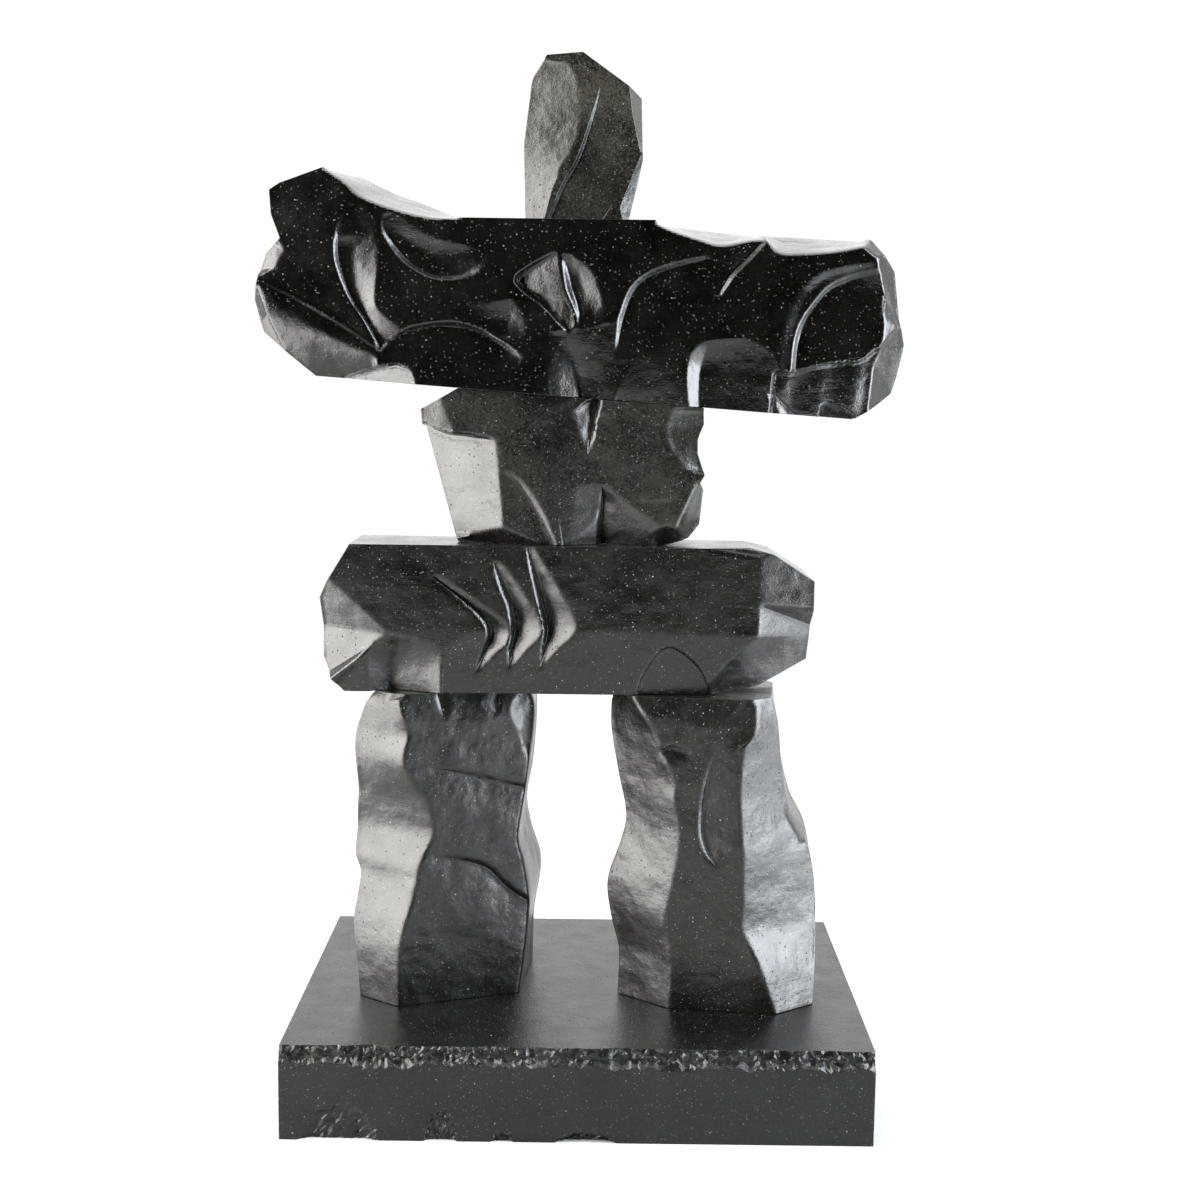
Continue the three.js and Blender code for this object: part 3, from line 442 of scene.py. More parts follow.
def pillar(stone, lines):
    piece = ring(len(lines))
    edit_all()
    for _ in range(RISES):
        bpy.ops.mesh.extrude_region_move(TRANSFORM_OT_translate={"value": (0, 0, 1)})
    done()
    for point in piece.data.vertices:
        corner = round(math.atan2(point.co.x, point.co.y) / (2 * math.pi) * len(lines)) % len(lines)
        up = point.co.z / RISES * 100
        across, deep = follow(lines[corner], up)
        point.co = on_stone(stone, (across, up, deep))
    return close_up()


# %% [markdown]
# The left leg is turned to the right, so its front face looks past the viewer. Two ground steps cross it.
# %% Left leg
def left_leg(leg):
    body = pillar(leg, [
        [[0, 16, 0], [15, 16, 0], [25, 19, 0], [35, 25.5, 0], [46, 30, 0], [54, 38, 0], [60, 37, 0],
         [66.5, 33, 0], [73.5, 23.5, 0], [79, 19, 0], [87, 22.5, 0], [93, 19, 0], [100, 16, 4]],
        [[0, 94, 0], [15, 98, 0], [31, 100, 0], [44, 96.5, 0], [51, 93, 0], [64, 96.5, 0], [83, 101.5, 0],
         [95, 103, 0], [100, 99, 4]],
        [[0, 123, 78], [17, 124, 78], [35, 128, 76], [48, 121.5, 79], [57, 119, 80], [69, 122.5, 79],
         [85, 125, 79], [100, 124, 78]],
        [[0, 96, 100], [30, 101, 97], [55, 94, 101], [75, 98, 98], [100, 94, 99]],
        [[0, 34, 96], [25, 29, 98], [50, 37, 93], [75, 30, 98], [100, 35, 95]],
        [[0, -1.5, 34], [10, -2.5, 35], [24, -4, 41], [33.5, -0.5, 44], [40, 1.5, 46], [45, -1, 50],
         [53, 1, 54], [60, 1, 53], [66.5, 1, 49], [73.5, -1, 44], [81, -2.5, 41], [87, -1.5, 40], [92, 1, 36],
         [96, 3, 32], [100, 8, 28]],
    ])
    cut(body, [
        hollow(leg, [[36, 76.5, 0.6], [50, 74.8, 1.7], [67.6, 72.3, 2], [84, 69.8, 2.2], [106, 66.5, 2.6]],
               [[40, 68, 0], [70, 58, 0], [108, 50, 0]], slope=1.6, fade=1.5),
        hollow(leg, [[38, 47.5, 0.8], [50, 46.6, 1.6], [61, 45, 2.2], [74, 42, 2.8], [87, 35, 3.2],
                     [106, 28, 3.4]],
               [[42, 38, 0], [70, 22, 0], [90, 10, 0], [110, 4, 0]], slope=1.8, fade=1.5),
        chip(leg, [[84, 104, 0], [89, 91, 0], [93, 85.5, 0], [98.5, 77, 0], [108, 77, 6], [108, 104, 10]]),
        chip(leg, [[40, 104, 8], [45, 91, 0], [52, 88.5, 0], [59, 93, 0], [62, 104, 0.5]]),
        chip(leg, [[62, 104, 0.5], [60, 96, 0], [64, 91.5, 0], [79, 92, 0], [82, 104, 7]]),
        chip(leg, [[-8, 92, 30], [12, 97.5, 14], [26, 100.5, 0], [26, 106, 0], [-8, 106, 0]]),
        hollow(leg, [[0, 66, 4], [30, 60, 8], [62, 56, 8], [96, 60, 4]],
               [[0, 40, 0], [34, 30, 0], [66, 34, 0], [96, 44, 0]], back=True),
        hollow(leg, [[2, 94, 3], [30, 88, 7], [60, 92, 7], [98, 86, 3]],
               [[2, 72, 0], [34, 68, 0], [70, 72, 0], [98, 66, 0]], back=True),
    ])
    shave(body, leg, [100, 100, 96], [0.25, 1, 0.5])
    shave(body, leg, [34, 8, 98], [-0.1, 1, -0.35])
    return body


stand("left_leg", left_leg, wave=0.0004, reach=0.045, seed=1)

# %% [markdown]
# The right leg has a long chamfer on either side of its narrow front, and one upright leaf in it.
# %% Right leg
def right_leg(leg):
    body = pillar(leg, [
        [[0, 26, 0], [13, 26.5, 0], [21, 25, 0], [29, 23, 0], [39, 26, 0], [49, 28.5, 0], [57, 29.5, 0],
         [68, 26.5, 0], [73, 27, 0], [80.5, 22.5, 0], [88.5, 17.5, 0], [94.5, 12, 0], [100, 6, 4]],
        [[0, 76, 0], [14.5, 68.5, 0], [21, 63.5, 0], [27, 59.5, 0], [37, 60, 0], [50, 59.5, 0],
         [69, 57.5, 0], [82.5, 58.5, 0], [91, 61.5, 0], [100, 61.5, 4]],
        [[0, 93, 27], [15, 93.5, 37], [35, 92.5, 47], [48, 89.5, 45], [54, 85.5, 41], [61, 80, 35],
         [70, 77, 31], [80, 75, 27], [93, 73, 21], [100, 70, 18]],
        [[0, 91, 84], [25, 93, 82], [42, 90, 80], [55, 86, 80], [64, 79, 84], [80, 73, 86],
         [100, 69.5, 84]],
        [[0, 62, 100], [28, 58, 98], [50, 63, 96], [75, 57, 100], [100, 60, 97]],
        [[0, 13, 97], [25, 10, 99], [45, 15, 95], [70, 11, 99], [100, 14, 96]],
        [[0, 0, 28], [15, 0.5, 28], [24.5, -3, 28], [35, -5.5, 28], [41, -4.5, 28], [51, 0.5, 28],
         [59.5, 3, 28], [74, -1, 28], [88, -4.5, 28], [97, -4.5, 28], [100, -3, 28]],
    ])
    cut(body, [
        hollow(leg, [[46, 86, 0], [42, 75, 3], [40, 65, 4.4], [40, 57, 4.4], [42.5, 51, 3.4],
                     [47.3, 46.5, 0.6]],
               [[50, 87, 0], [56, 76, 0], [57, 62, 0], [54, 52, 0], [49, 46, 0]], slope=1.0, ease=0.8),
        chip(leg, [[50.5, 104, 0], [48.5, 92.5, 0], [46, 86, 0], [54, 84.5, 0.6], [62.5, 88, 3],
                   [66, 104, 9]]),
        chip(leg, [[-9, 104, 34], [7.5, 99.5, 0], [-9, 86, 34]]),
        hollow(leg, [[17, 83, 2], [25, 84.5, 2.2], [34, 83.5, 1]],
               [[18, 80, 0], [26, 79.5, 0], [34, 80.5, 0]], slope=0.6),
        chip(leg, [[61, 104, 8], [62, 99.5, 6], [78, 97.5, 28], [84, 104, 40]]),
        hollow(leg, [[4, 60, 4], [30, 68, 8], [58, 62, 8], [84, 70, 4]],
               [[6, 36, 0], [34, 40, 0], [62, 30, 0], [86, 42, 0]], back=True),
        hollow(leg, [[4, 92, 3], [40, 96, 7], [88, 90, 3]],
               [[6, 76, 0], [40, 72, 0], [86, 80, 0]], back=True),
    ])
    shave(body, leg, [76, 100, 84], [0.8, 0.9, 0.5])
    shave(body, leg, [13, 7, 98], [-0.1, 1, -0.35])
    return body


stand("right_leg", right_leg, wave=0.0004, reach=0.045, seed=2)

# %% [markdown]
# Three chevrons, each one a little longer than the last, are gouged in the front of the hip stone. Their
# upright walls stay dark, and their floors turn to the left and catch the light.
# %% Chevrons
# Each chevron: its top, the bends of its wall, its point on the right, and its bottom.
CHEVRONS = [
    ([23, 79], [[29, 64], [34, 49], [34.8, 40], [32.5, 22.5]], [39.6, 41], [30.5, 3.5]),
    ([35.5, 88], [[37.3, 72], [39, 58], [39.6, 44], [38.7, 27.5]], [45.4, 43], [38, 10]),
    ([42, 99], [[43.6, 80], [45.2, 60], [46.2, 44], [45.3, 28]], [52, 44.5], [44, 10]),
]


def chevron(hip, top, wall, point, bottom):
    """One chevron: its wall on the left, and a floor that ends at its point on the right."""
    upper = [(point[k] * 0.55 + top[k] * 0.45) for k in (0, 1)]
    lower = [(point[k] * 0.6 + bottom[k] * 0.4) for k in (0, 1)]
    return hollow(
        hip, [top, *wall, bottom],
        [[top[0] + 1.3, top[1], 0], [upper[0] + 1, upper[1] + 1, 0], [*point, 0],
         [lower[0] + 0.6, lower[1], 0], [bottom[0] + 1.3, bottom[1] - 1, 0]],
        lean=0.54, slope=0.9, along=40,
    )


# %% [markdown]
# The hip stone lies across both legs. Its ends are broken down to facets, the left one with a scoop below,
# and one long soft hollow runs along its foot, with an arch ground into it on the right.
# %% Hip stone
def hip_stone(hip):
    body = block(hip, [
        [5, 0], [2.5, 9], [0.5, 22.5], [0, 63], [2, 75.5], [6.5, 100], [86.5, 100], [91.5, 96],
        [100, 77.5], [100, 53.5], [99.5, 21.5], [89.5, 4.5], [79, 0],
    ])
    cut(body, [
        chip(hip, [[1, 79, 0], [14, 39.5, 0], [-5, 43, 36], [-5, 86, 22]]),
        chip(hip, [[14, 39.5, 0], [1, 5, 0], [-5, -2, 20], [-5, 43, 36]]),
        chip(hip, [[1.5, 6.5, 2], [14, 39.5, 0], [18, 39, 0], [17, -5, 9], [2, -5, 10]]),
        hollow(hip, [[16.2, 38, 1], [15, 20, 14], [14, -5, 20]],
               [[25.5, 31, 0], [25.3, 14, 1], [25, -5, 3]], slope=20, ease=1.4),
        hollow(hip, [[25, -5, 7], [60, -5, 7.5], [104, -5, 10]],
               [[25.5, 30.5, 0], [33, 44, 0], [51.5, 44.5, 0], [77, 42, 0], [104, 38, 1]], slope=0),
        chip(hip, [[88.7, 104, 0], [88.7, 62.5, 0], [104, 51, 18], [104, 104, 18]]),
        chip(hip, [[88.6, 40, 0], [88.7, 62.5, 0], [98.5, 40, 30], [98.5, 39, 30]]),
        chip(hip, [[88.7, 62.5, 0], [104, 56, 20], [104, 40, 44], [98.5, 40, 30]]),
        hollow(hip, [[104, 40.3, 44], [104, 20, 49], [104, -5, 56]],
               [[88.2, 40.3, 0], [81.5, 22, 2], [77, -5, 9]], slope=0, fade=0.95),
        chip(hip, [[75, 103, 6], [76.5, 100.5, 0], [80.5, 98, 0], [88.5, 95.5, 0], [92, 96.5, 0],
                   [90, 108, 30], [78, 108, 24]]),
        *[chevron(hip, *places) for places in CHEVRONS],
        hollow(hip, [[64, -5, 11], [66, 15, 8], [70.5, 33, 4], [76.5, 19.5, 8], [79.5, -5, 11]],
               [[66, -5, 10], [71, -5, 11], [78, -5, 11]], slope=1.2),
        hollow(hip, [[14, 44, 0.3], [22, 36, 5], [32, 32, 8], [41, 35, 5], [48, 44, 0.3]],
               [[15, 50, 0], [22, 62, 0], [32, 70, 0], [42, 62, 0], [47.5, 50, 0]], back=True),
        hollow(hip, [[56, 54, 0.3], [63, 65, 5], [72, 70, 8], [81, 66, 5], [88, 56, 0.3]],
               [[57, 48, 0], [64, 36, 0], [73, 31, 0], [82, 37, 0], [87.5, 49, 0]], back=True),
    ])
    shave(body, hip, [50, 82, 100], [0.02, 0.6, 1])
    shave(body, hip, [50, 12, 100], [-0.03, 1, -0.7])
    shave(body, hip, [6, 50, 100], [-1, 0.9, 0.2])
    shave(body, hip, [95, 50, 100], [1, 0.8, -0.15])
    return body


stand("hip_stone", hip_stone, wave=0.0003, seed=3)

# %% [markdown]
# The torso has a steep facet on its left that mirrors the light, and a slanted top that carries the arms.
# %% Torso
ARM_TILT = math.radians(STONES["arm_stone"]["tilt"])


def torso_stone(torso):
    body = block(torso, [
        [12.5, 0], [11.5, 5.5], [0.5, 75], [0, 86.5], [7, 93.5], [13, 100], [99, 106], [99.5, 79],
        [97.5, 69.5], [97.5, 60], [100, 46.5], [98.5, 41.5], [100, 36], [99.5, 24.5], [99, 13], [95, 4.5],
        [87, 0],
    ])
    shave(body, torso, [13, 100], [math.sin(ARM_TILT), 0, math.cos(ARM_TILT)])
    cut(body, [
        chip(torso, [[-5, 76, 52], [1, 75.5, 44], [9, 70, 30], [17.5, 69, 17], [26.5, 67, 0], [29.5, 11, 0],
                     [21, 6, 13], [12, 2, 28], [5, -3, 44], [-5, -3, 56]]),
        chip(torso, [[10, -6, 40], [12.5, 1.5, 28], [21, 6.5, 13], [29.5, 11, 0], [47, 1, 0], [48, -6, 6],
                     [30, -6, 12]]),
        chip(torso, [[7, 97, 0], [9, 84, 0], [12.5, 73, 0], [4, 71, 6], [-3, 74, 14], [-3, 97, 9]]),
        chip(torso, [[33, 91, 0], [42, 81.5, 0], [52.5, 85.5, 0], [63, 93, 0], [63, 108, 4], [48, 108, 14],
                     [33, 108, 5]]),
        chip(torso, [[52.5, 85.5, 0], [56, 70, 0], [59, 59, 0.6], [60.5, 75, 7.6], [62.5, 96, 12.5]]),
        hollow(torso, [[61.5, 84, 2], [64, 75, 1.6], [69, 64, 0.5]],
               [[68, 86, 0], [72, 76, 0], [72.5, 65, 0]], slope=2, fade=1.5),
        hollow(torso, [[28, 48.5, 0.5], [33.5, 42.5, 2], [37.5, 33.5, 3], [42.5, 18, 3.6], [47.5, -4, 4]],
               [[27.8, 47, 0], [28.5, 30, 0], [29.5, 11, 0.6], [30, -4, 1]], slope=1.7, ease=1.6),
        chip(torso, [[47.2, 36, 0], [55, 38.5, 0], [64, 39, 0], [64, 20, 9], [63.5, -5, 19], [51, -5, 3],
                     [48.8, 18, 1]]),
        hollow(torso, [[64, 39, 0.5], [64.2, 31, 10], [64, 20, 16], [63.5, -5, 26]],
               [[66, 37, 0], [70.5, 31, 0], [78, 21.5, 0], [90, 8, 0], [97, -5, 4]], slope=1, fade=1.4),
        hollow(torso, [[72, 31, 0.4], [80, 28.5, 1], [91, 29.5, 0.4]],
               [[73, 24, 0], [80, 19, 0], [91, 23, 0]], slope=2, fade=2),
        hollow(torso, [[81, -5, 14], [83, 7, 12], [87, 11, 10], [92, 6, 11], [93, -5, 14]],
               [[83, -5, 22], [91, -5, 22]], slope=0.4),
        chip(torso, [[91, 16, 0], [95, 31, 0], [98, 42, 0], [104, 42, 30], [104, -5, 54], [90, -5, 12]]),
        hollow(torso, [[104, 88, 9], [104, 66, 10.5], [104, 48, 9]],
               [[88, 88, 0], [86, 70, 0], [93, 50, 0]], slope=0, fade=0.8),
        hollow(torso, [[24, 66, 0.3], [29, 52, 6], [35, 38, 9], [40, 26, 5], [46, 14, 0.3]],
               [[28, 68, 0], [42, 68, 0], [56, 54, 0], [60, 34, 0], [50, 15, 0]], back=True),
    ])
    shave(body, torso, [50, 78, 100], [0.03, 0.7, 1])
    shave(body, torso, [8, 50, 100], [-1, 1, 0.15])
    shave(body, torso, [96, 50, 100], [1, 0.9, -0.2])
    return body


stand("torso_stone", torso_stone, wave=0.0003, seed=4)

# %% [markdown]
# Both arms are one long stone, and it is the most worked: leaf after leaf is ground into its front. Its
# cutters are made place by place. The top comes first, ground down to the front edge in three places, and
# then the left end, with a leaf above the ridge and a rounded face below it.
# %% Arm stone: the top and the left end
def arm_top(arm):
    return [
        hollow(arm, [[6, 102, 91], [12.5, 97.5, 91], [19, 90.2, 91], [24, 86.4, 91], [31, 79.5, 91]],
               [[8.5, 97, 0], [12.5, 90, 0], [15, 84, 0], [20.5, 79, 0], [25.5, 77, 0], [30.5, 78.4, 0]],
               slope=0),
        hollow(arm, [[59, 87.5, 91], [75.5, 84.5, 91]],
               [[59.4, 82.5, 0], [61.3, 80.2, 0], [65.7, 76.9, 0], [68.8, 75, 0], [73.8, 78.9, 0],
                [75.6, 79.5, 0]], slope=0),
        hollow(arm, [[75.4, 85, 91], [78, 86.5, 91], [91.5, 86.5, 91]],
               [[75.8, 79.3, 0], [77.8, 73.8, 0], [81, 74.3, 0], [85.8, 76.6, 0], [90.2, 80.4, 0]],
               slope=0),
    ]


def arm_left_end(arm):
    return [
        hollow(arm, [[-1, 44.5, 1.5], [5.5, 37, 2.4], [10, 30.5, 3], [14, 24.5, 3], [19.3, 15, 2]],
               [[-1, 50, 0], [4.5, 55, 0], [8.5, 61.5, 0], [11.8, 60, 0], [13, 47, 2], [19.2, 17, 2]],
               slope=1.8),
        hollow(arm, [[-2, 6, 30], [4, -4, 30], [9, -6, 29], [14, -4, 27], [19, 2, 13]],
               [[-2, 42, 1], [3.5, 33.5, 0], [7.5, 27, 0], [12.5, 19.5, 0], [18.5, 12.5, 0]],
               slope=0, fade=1.7),
        chip(arm, [[-3, 64, 20], [2.5, 62, 4], [4.2, 56, 0], [3.4, 49, 0], [0.6, 44.5, 2], [-3, 43, 16]]),
        chip(arm, [[0.5, 40, 0], [2, 27, 4], [4.5, 11.5, 15], [-2, 4, 42], [-3, 40, 22]]),
        chip(arm, [[12, -4, 36], [14.5, 1, 28], [18.3, 5.6, 17], [22, 8.2, 6], [24, 6.4, 1],
                   [25.5, -4, 0]]),
    ]


# %% [markdown]
# A crescent and two leaves, one above the other, fill the left arm. Where a leaf has a broad band along its
# wall, the wall leans back, and a high `slope` gives it that width.
# %% Arm stone: the left arm
def arm_left(arm):
    return [
        hollow(arm, [[13.3, 80, 0.5], [12.2, 71, 1.4], [12, 66, 2.4], [12, 62, 4.2], [12.2, 55, 5.4],
                     [13, 47, 5.8], [14.6, 37, 5.6], [16.7, 28.7, 5.4], [19.4, 15, 4.2]],
               [[16, 80, 0], [17.2, 71, 0], [17.6, 66.5, 0], [18, 62, 0], [18.3, 54, 0], [18.1, 47, 0],
                [18, 41, 0], [18.4, 34, 0], [22.4, 25, 0]], slope=1.2, flat=0.32),
        hollow(arm, [[18.6, 76, 1], [18.9, 70, 2.6], [20.2, 64, 3.8], [22.4, 57, 4.4], [25.2, 52, 4.4],
                     [28, 50, 3.6], [31, 51, 1.8]],
               [[20.4, 79.5, 0], [22.8, 74, 0], [25.2, 69.5, 0], [29, 66.5, 0], [33.1, 65, 0],
                [34.4, 60, 0], [33.8, 55, 0]], slope=1.8, flat=0.35),
        hollow(arm, [[19.5, 15, 2], [21.8, 21.5, 5], [24.4, 25.5, 6], [29.7, 28.8, 6.5], [33.9, 27, 6.5],
                     [37.3, 22, 5.5], [40.4, 16.5, 1]],
               [[20, 7, 0], [25, 3, 0], [31, 2, 0], [37, 4, 0], [41, 12, 0]], slope=1.2, fade=1.6),
        hollow(arm, [[38.5, 43, 0], [38.3, 38, 2.2], [38, 32, 4], [38.1, 27, 3], [38.8, 23, 0]],
               [[38.9, 43, 0], [39.9, 38.5, 0], [40.8, 32, 0], [40.9, 27, 0], [39.4, 23, 0]], slope=24),
    ]


# %% [markdown]
# In the middle a peak stands out: a pale face on the left, and two folds that climb to the right. A long
# hollow runs from its foot to the torso.
# %% Arm stone: the peak in the middle
def arm_peak(arm):
    return [
        hollow(arm, [[44.7, 66.3], [42.5, 61.5], [40.5, 57], [39, 52], [40.6, 47], [43.2, 42], [45.3, 36],
                     [47.2, 30]],
               [[45, 66, 0], [45.4, 61, 0.5], [45.9, 55, 0.5], [46.6, 48, 0.5], [47.4, 43, 1.5],
                [48, 38, 1.5], [48.4, 30, 0.5]], slope=0.6, lean=0.3),
        folds(arm, [
            [[45, 65.9, 0], [45.4, 61, 0], [45.9, 55, 0], [46.6, 48, 0], [47.4, 43, 0], [48, 38, 0],
             [48.4, 31, 0]],
            [[45.3, 65.7, 0.3], [46.2, 61, 3.8], [46.8, 55, 6], [47.5, 48.5, 6.6], [48.2, 44, 5.8],
             [48.7, 39, 4], [48.7, 32, 1.2]],
            [[45.8, 65.6, 0.3], [47.4, 61, 2.9], [48.3, 55.5, 4.8], [49.2, 48.7, 5], [49.7, 44.5, 4.2],
             [49.8, 39, 2.8], [49.5, 32, 1]],
            [[46.3, 66, 0], [49.8, 59.6, 0], [51, 54.4, 0], [51.7, 49, 0], [52.1, 44, 0], [52.6, 38, 0],
             [52, 31, 0]],
        ]),
        hollow(arm, [[46.5, 30, 2], [48, 19, 7], [49.3, 8, 10], [50, -4, 11]],
               [[44, 28, 0], [43.6, 18, 0], [44.4, 8, 0], [45.8, -4, 1]], slope=36, fade=1.2),
    ]


# %% [markdown]
# The right arm has a large leaf, an upright wall with a broad hollow on its right, and at its end a leaf in
# two steps, a rough outer one and a smooth inner one.
# %% Arm stone: the right arm
def arm_right(arm):
    return [
        hollow(arm, [[69.5, 70.5, 0.5], [64.5, 66.5, 2.6], [60, 61, 3.8], [57.2, 54.5, 4.2],
                     [55.4, 40, 4.4], [54.8, 26, 4], [54.4, 16, 2]],
               [[72.2, 68, 0.5], [70.8, 62, 1], [69, 53, 1], [66.5, 39, 0], [62, 26, 0], [56, 18, 0]],
               slope=2.3, fade=1.4),
        hollow(arm, [[75.3, 79, 3], [73.1, 70.3, 3.4], [70.9, 62.4, 3.4], [69.1, 52, 2.2]],
               [[68.5, 81, 0], [67, 73, 0.4], [66, 63, 1.5], [65.5, 54, 1]], slope=1.8, fade=1.6),
        hollow(arm, [[68.5, 30.2, 1.5], [67.9, 23.6, 6.5], [67.6, 15.6, 8.8], [67.7, 4.4, 9.6],
                     [68, -4, 9.6]],
               [[70, 31.5, 0], [74, 33.5, 0], [77.5, 29, 0], [79.4, 20, 1], [84, -4, 6]], slope=9),
        hollow(arm, [[55, -4, 9], [67, -4, 4]],
               [[56, 16, 2], [60, 25, 0], [65.5, 29, 0]], slope=0, fade=1.4),
        hollow(arm, [[92.5, 72, 0.5], [89.2, 69, 2], [85.6, 65, 2.3], [83, 58, 2.5], [81.4, 46, 2.6],
                     [80.7, 33, 2.6], [80.5, 20, 2.3]],
               [[93, 69.5, 0], [90, 64, 3.8], [86.5, 57, 4.2], [84.5, 46, 4.2], [83.5, 33, 4.2],
                [83, 19.5, 4]], slope=5.5),
        hollow(arm, [[93.4, 70, 1], [90, 66.6, 5], [86.2, 60.8, 6.6], [84, 52.4, 7], [82.5, 44, 7.2],
                     [81.8, 35.5, 7.4], [81.7, 19.5, 7.2]],
               [[93.6, 69, 1.5], [93.8, 55, 6], [94, 34.3, 7], [91.5, 28.5, 7], [88, 26, 7], [82.6, 20, 7]],
               slope=3),
    ]


# %% [markdown]
# Below the last leaf the disc left soft upright flutes. They start at the leaf's crisp lower edge and run
# down to the foot, and a sine makes them swell.
# %% Arm stone: the flutes and the right end
FLUTES = dict(first=78.6, width=15.6, trough=78.2, pitch=5.5, deep=1.4, rows=9)


def flutes(arm):
    top = smooth_line([[78.6, 19], [81.4, 19.6], [84.5, 22.8], [88, 25.8], [91.3, 27.6], [94.2, 34.5]], 60)
    rows = []
    for k in range(FLUTES["rows"] + 1):
        down = k / FLUTES["rows"]
        row = []
        for place in top:
            share = (place.x - FLUTES["first"]) / FLUTES["width"]
            swell = math.sin((place.x - FLUTES["trough"]) / FLUTES["pitch"] * 2 * math.pi)
            wave = FLUTES["deep"] * swell * (0.4 + 0.4 * min(1, k / 3))
            row.append((place.x, place.y + (-4 - place.y) * down, 6.6 + 7.5 * share + 5.5 * down - wave))
        rows.append(row)
    return to_front(arm, sheet_of(arm, rows))


def arm_right_end(arm):
    return [
        chip(arm, [[89.4, 81, 0], [92.3, 75, 0], [93.6, 59.5, 1], [97.1, 44.6, 22], [103, 42, 62],
                   [103, 90, 62], [91.5, 90, 30]]),
        chip(arm, [[93.8, 59.5, 0], [93.2, 50, 2], [94, 34.5, 5], [103, 38, 52], [97.1, 44.6, 17],
                   [98, 50, 26]]),
        chip(arm, [[94, 34.6, 7], [93.6, 26.5, 15], [93.8, -4, 22], [103, -4, 80], [103, 44, 70],
                   [97.1, 44.6, 19]]),
        flutes(arm),
        chip(arm, [[77.6, 9, 5], [79, 9, 9], [82.6, 0.3, 17], [85.6, 0.6, 19], [86, -4, 22], [82, -4, 16]]),
        chip(arm, [[86.3, 0, 22], [86.7, 5.7, 20], [89, 5.9, 21], [91.6, 2, 23], [92, -4, 36],
                   [86.3, -4, 36]]),
    ]


# %% [markdown]
# The back is plainer, with three broad leaves. Then the outline is carried through, every cutter is taken
# away, and the back's edges are ground off.
# %% Arm stone
def arm_back(arm):
    return [
        hollow(arm, [[12, 66, 0.4], [20, 52, 9], [30, 46, 9], [38, 48, 0.4]],
               [[14, 72, 0], [24, 76, 0], [36, 64, 0], [39, 52, 0]], back=True),
        hollow(arm, [[44, 34, 0.4], [48, 50, 10], [56, 62, 10], [66, 64, 0.4]],
               [[48, 30, 0], [58, 32, 0], [66, 44, 0], [68, 60, 0]], back=True),
        hollow(arm, [[72, 60, 0.4], [76, 44, 10], [84, 36, 9], [92, 38, 0.4]],
               [[74, 66, 0], [82, 70, 0], [90, 60, 0], [93, 44, 0]], back=True),
    ]


def arm_stone(arm):
    rise = math.tan(ARM_TILT) * arm["length"] / arm["height"]
    body = block(arm, [
        [9.5, 0], [4.5, 11.5], [1.5, 18.5], [0, 33], [0.5, 44], [1.5, 55], [3.5, 62], [2, 72.5], [1.5, 83.5],
        [3, 87], [9.5, 96], [13, 96.5], [19, 89.5], [23.8, 85.8], [27.5, 81.8], [30, 80 - 9 * rise],
        [59.5, 80 + 20.5 * rise], [75, 84], [91, 85.5], [95.5, 70], [97, 48.5], [98.5, 37], [98, 21],
        [97.5, 13.5], [95.5, 8.5], [93.5, 4], [91.5, 0],
    ])
    cut(body, arm_top(arm) + arm_left_end(arm) + arm_left(arm) + arm_peak(arm) + arm_right(arm)
        + arm_right_end(arm) + arm_back(arm))
    shave(body, arm, [50, 86, 100], [0.05, 0.5, 1])
    shave(body, arm, [50, 10, 100], [-0.04, 1, -0.8])
    shave(body, arm, [5, 50, 100], [-1, 0.9, 0.1])
    shave(body, arm, [96, 50, 100], [1, 0.8, -0.2])
    return body


stand("arm_stone", arm_stone, cell=0.00085, rounds=1, wave=0.00025, seed=5)

# %% [markdown]
# The head is a small upright stone with no face: a pale facet on the left and one curved groove. It isn't
# honed, so its arrises stay crisp.
# %% Head
def head_stone(head):
    body = block(head, [
        [2.5, 0], [0.5, 46.5], [6.5, 82], [8, 86], [19.5, 98], [49, 100], [88, 80], [98, 74], [99.5, 37],
        [95.5, 23.5], [88, 0],
    ])
    cut(body, [
        hollow(head, [[-6, 108, 15], [-6, 80, 22], [-6, 45, 22], [-6, -4, 15]],
               [[14, 96.5, 0], [42.5, 91.5, 0], [49, 75, 0], [49.3, 56, 0], [45.5, 46, 0], [35, 34, 0],
                [25.5, 20, 0], [17, -4, 0]], slope=0),
        hollow(head, [[63.5, 80, 0], [60.5, 68, 2.5], [54.5, 53, 4.5], [46.5, 36.5, 6], [35.5, 22.5, 6],
                      [20.5, -4, 5]],
               [[66, 78, 0], [80, 50, 0], [84, 30, 0], [76, 12, 0], [62, -4, 1]], slope=1.5, fade=1.4),
        chip(head, [[87, 83, 0], [90, 65, 0], [97, 42, 0], [104, 38, 16], [104, 86, 30]]),
        chip(head, [[98, 40, 0], [81, 8.5, 0], [85, -4, 8], [104, -4, 32], [104, 38, 10]]),
        chip(head, [[62, -4, 2], [64.5, 0.5, 0], [81, 8.5, 0], [90, -4, 8]]),
        hollow(head, [[24, 80, 0.3], [32, 66, 6], [37, 50, 10], [40, 32, 6], [42, 14, 0.3]],
               [[30, 82, -1], [52, 76, 0], [66, 54, 0], [64, 32, 0], [46, 14, -1]], back=True),
    ])
    shave(body, head, [49, 100, 55], [0.1, 0.7, 1])
    shave(body, head, [10, 50, 100], [-1, 0.8, 0.1])
    shave(body, head, [92, 50, 100], [1, 0.9, 0.2])
    return body


stand("head_stone", head_stone)

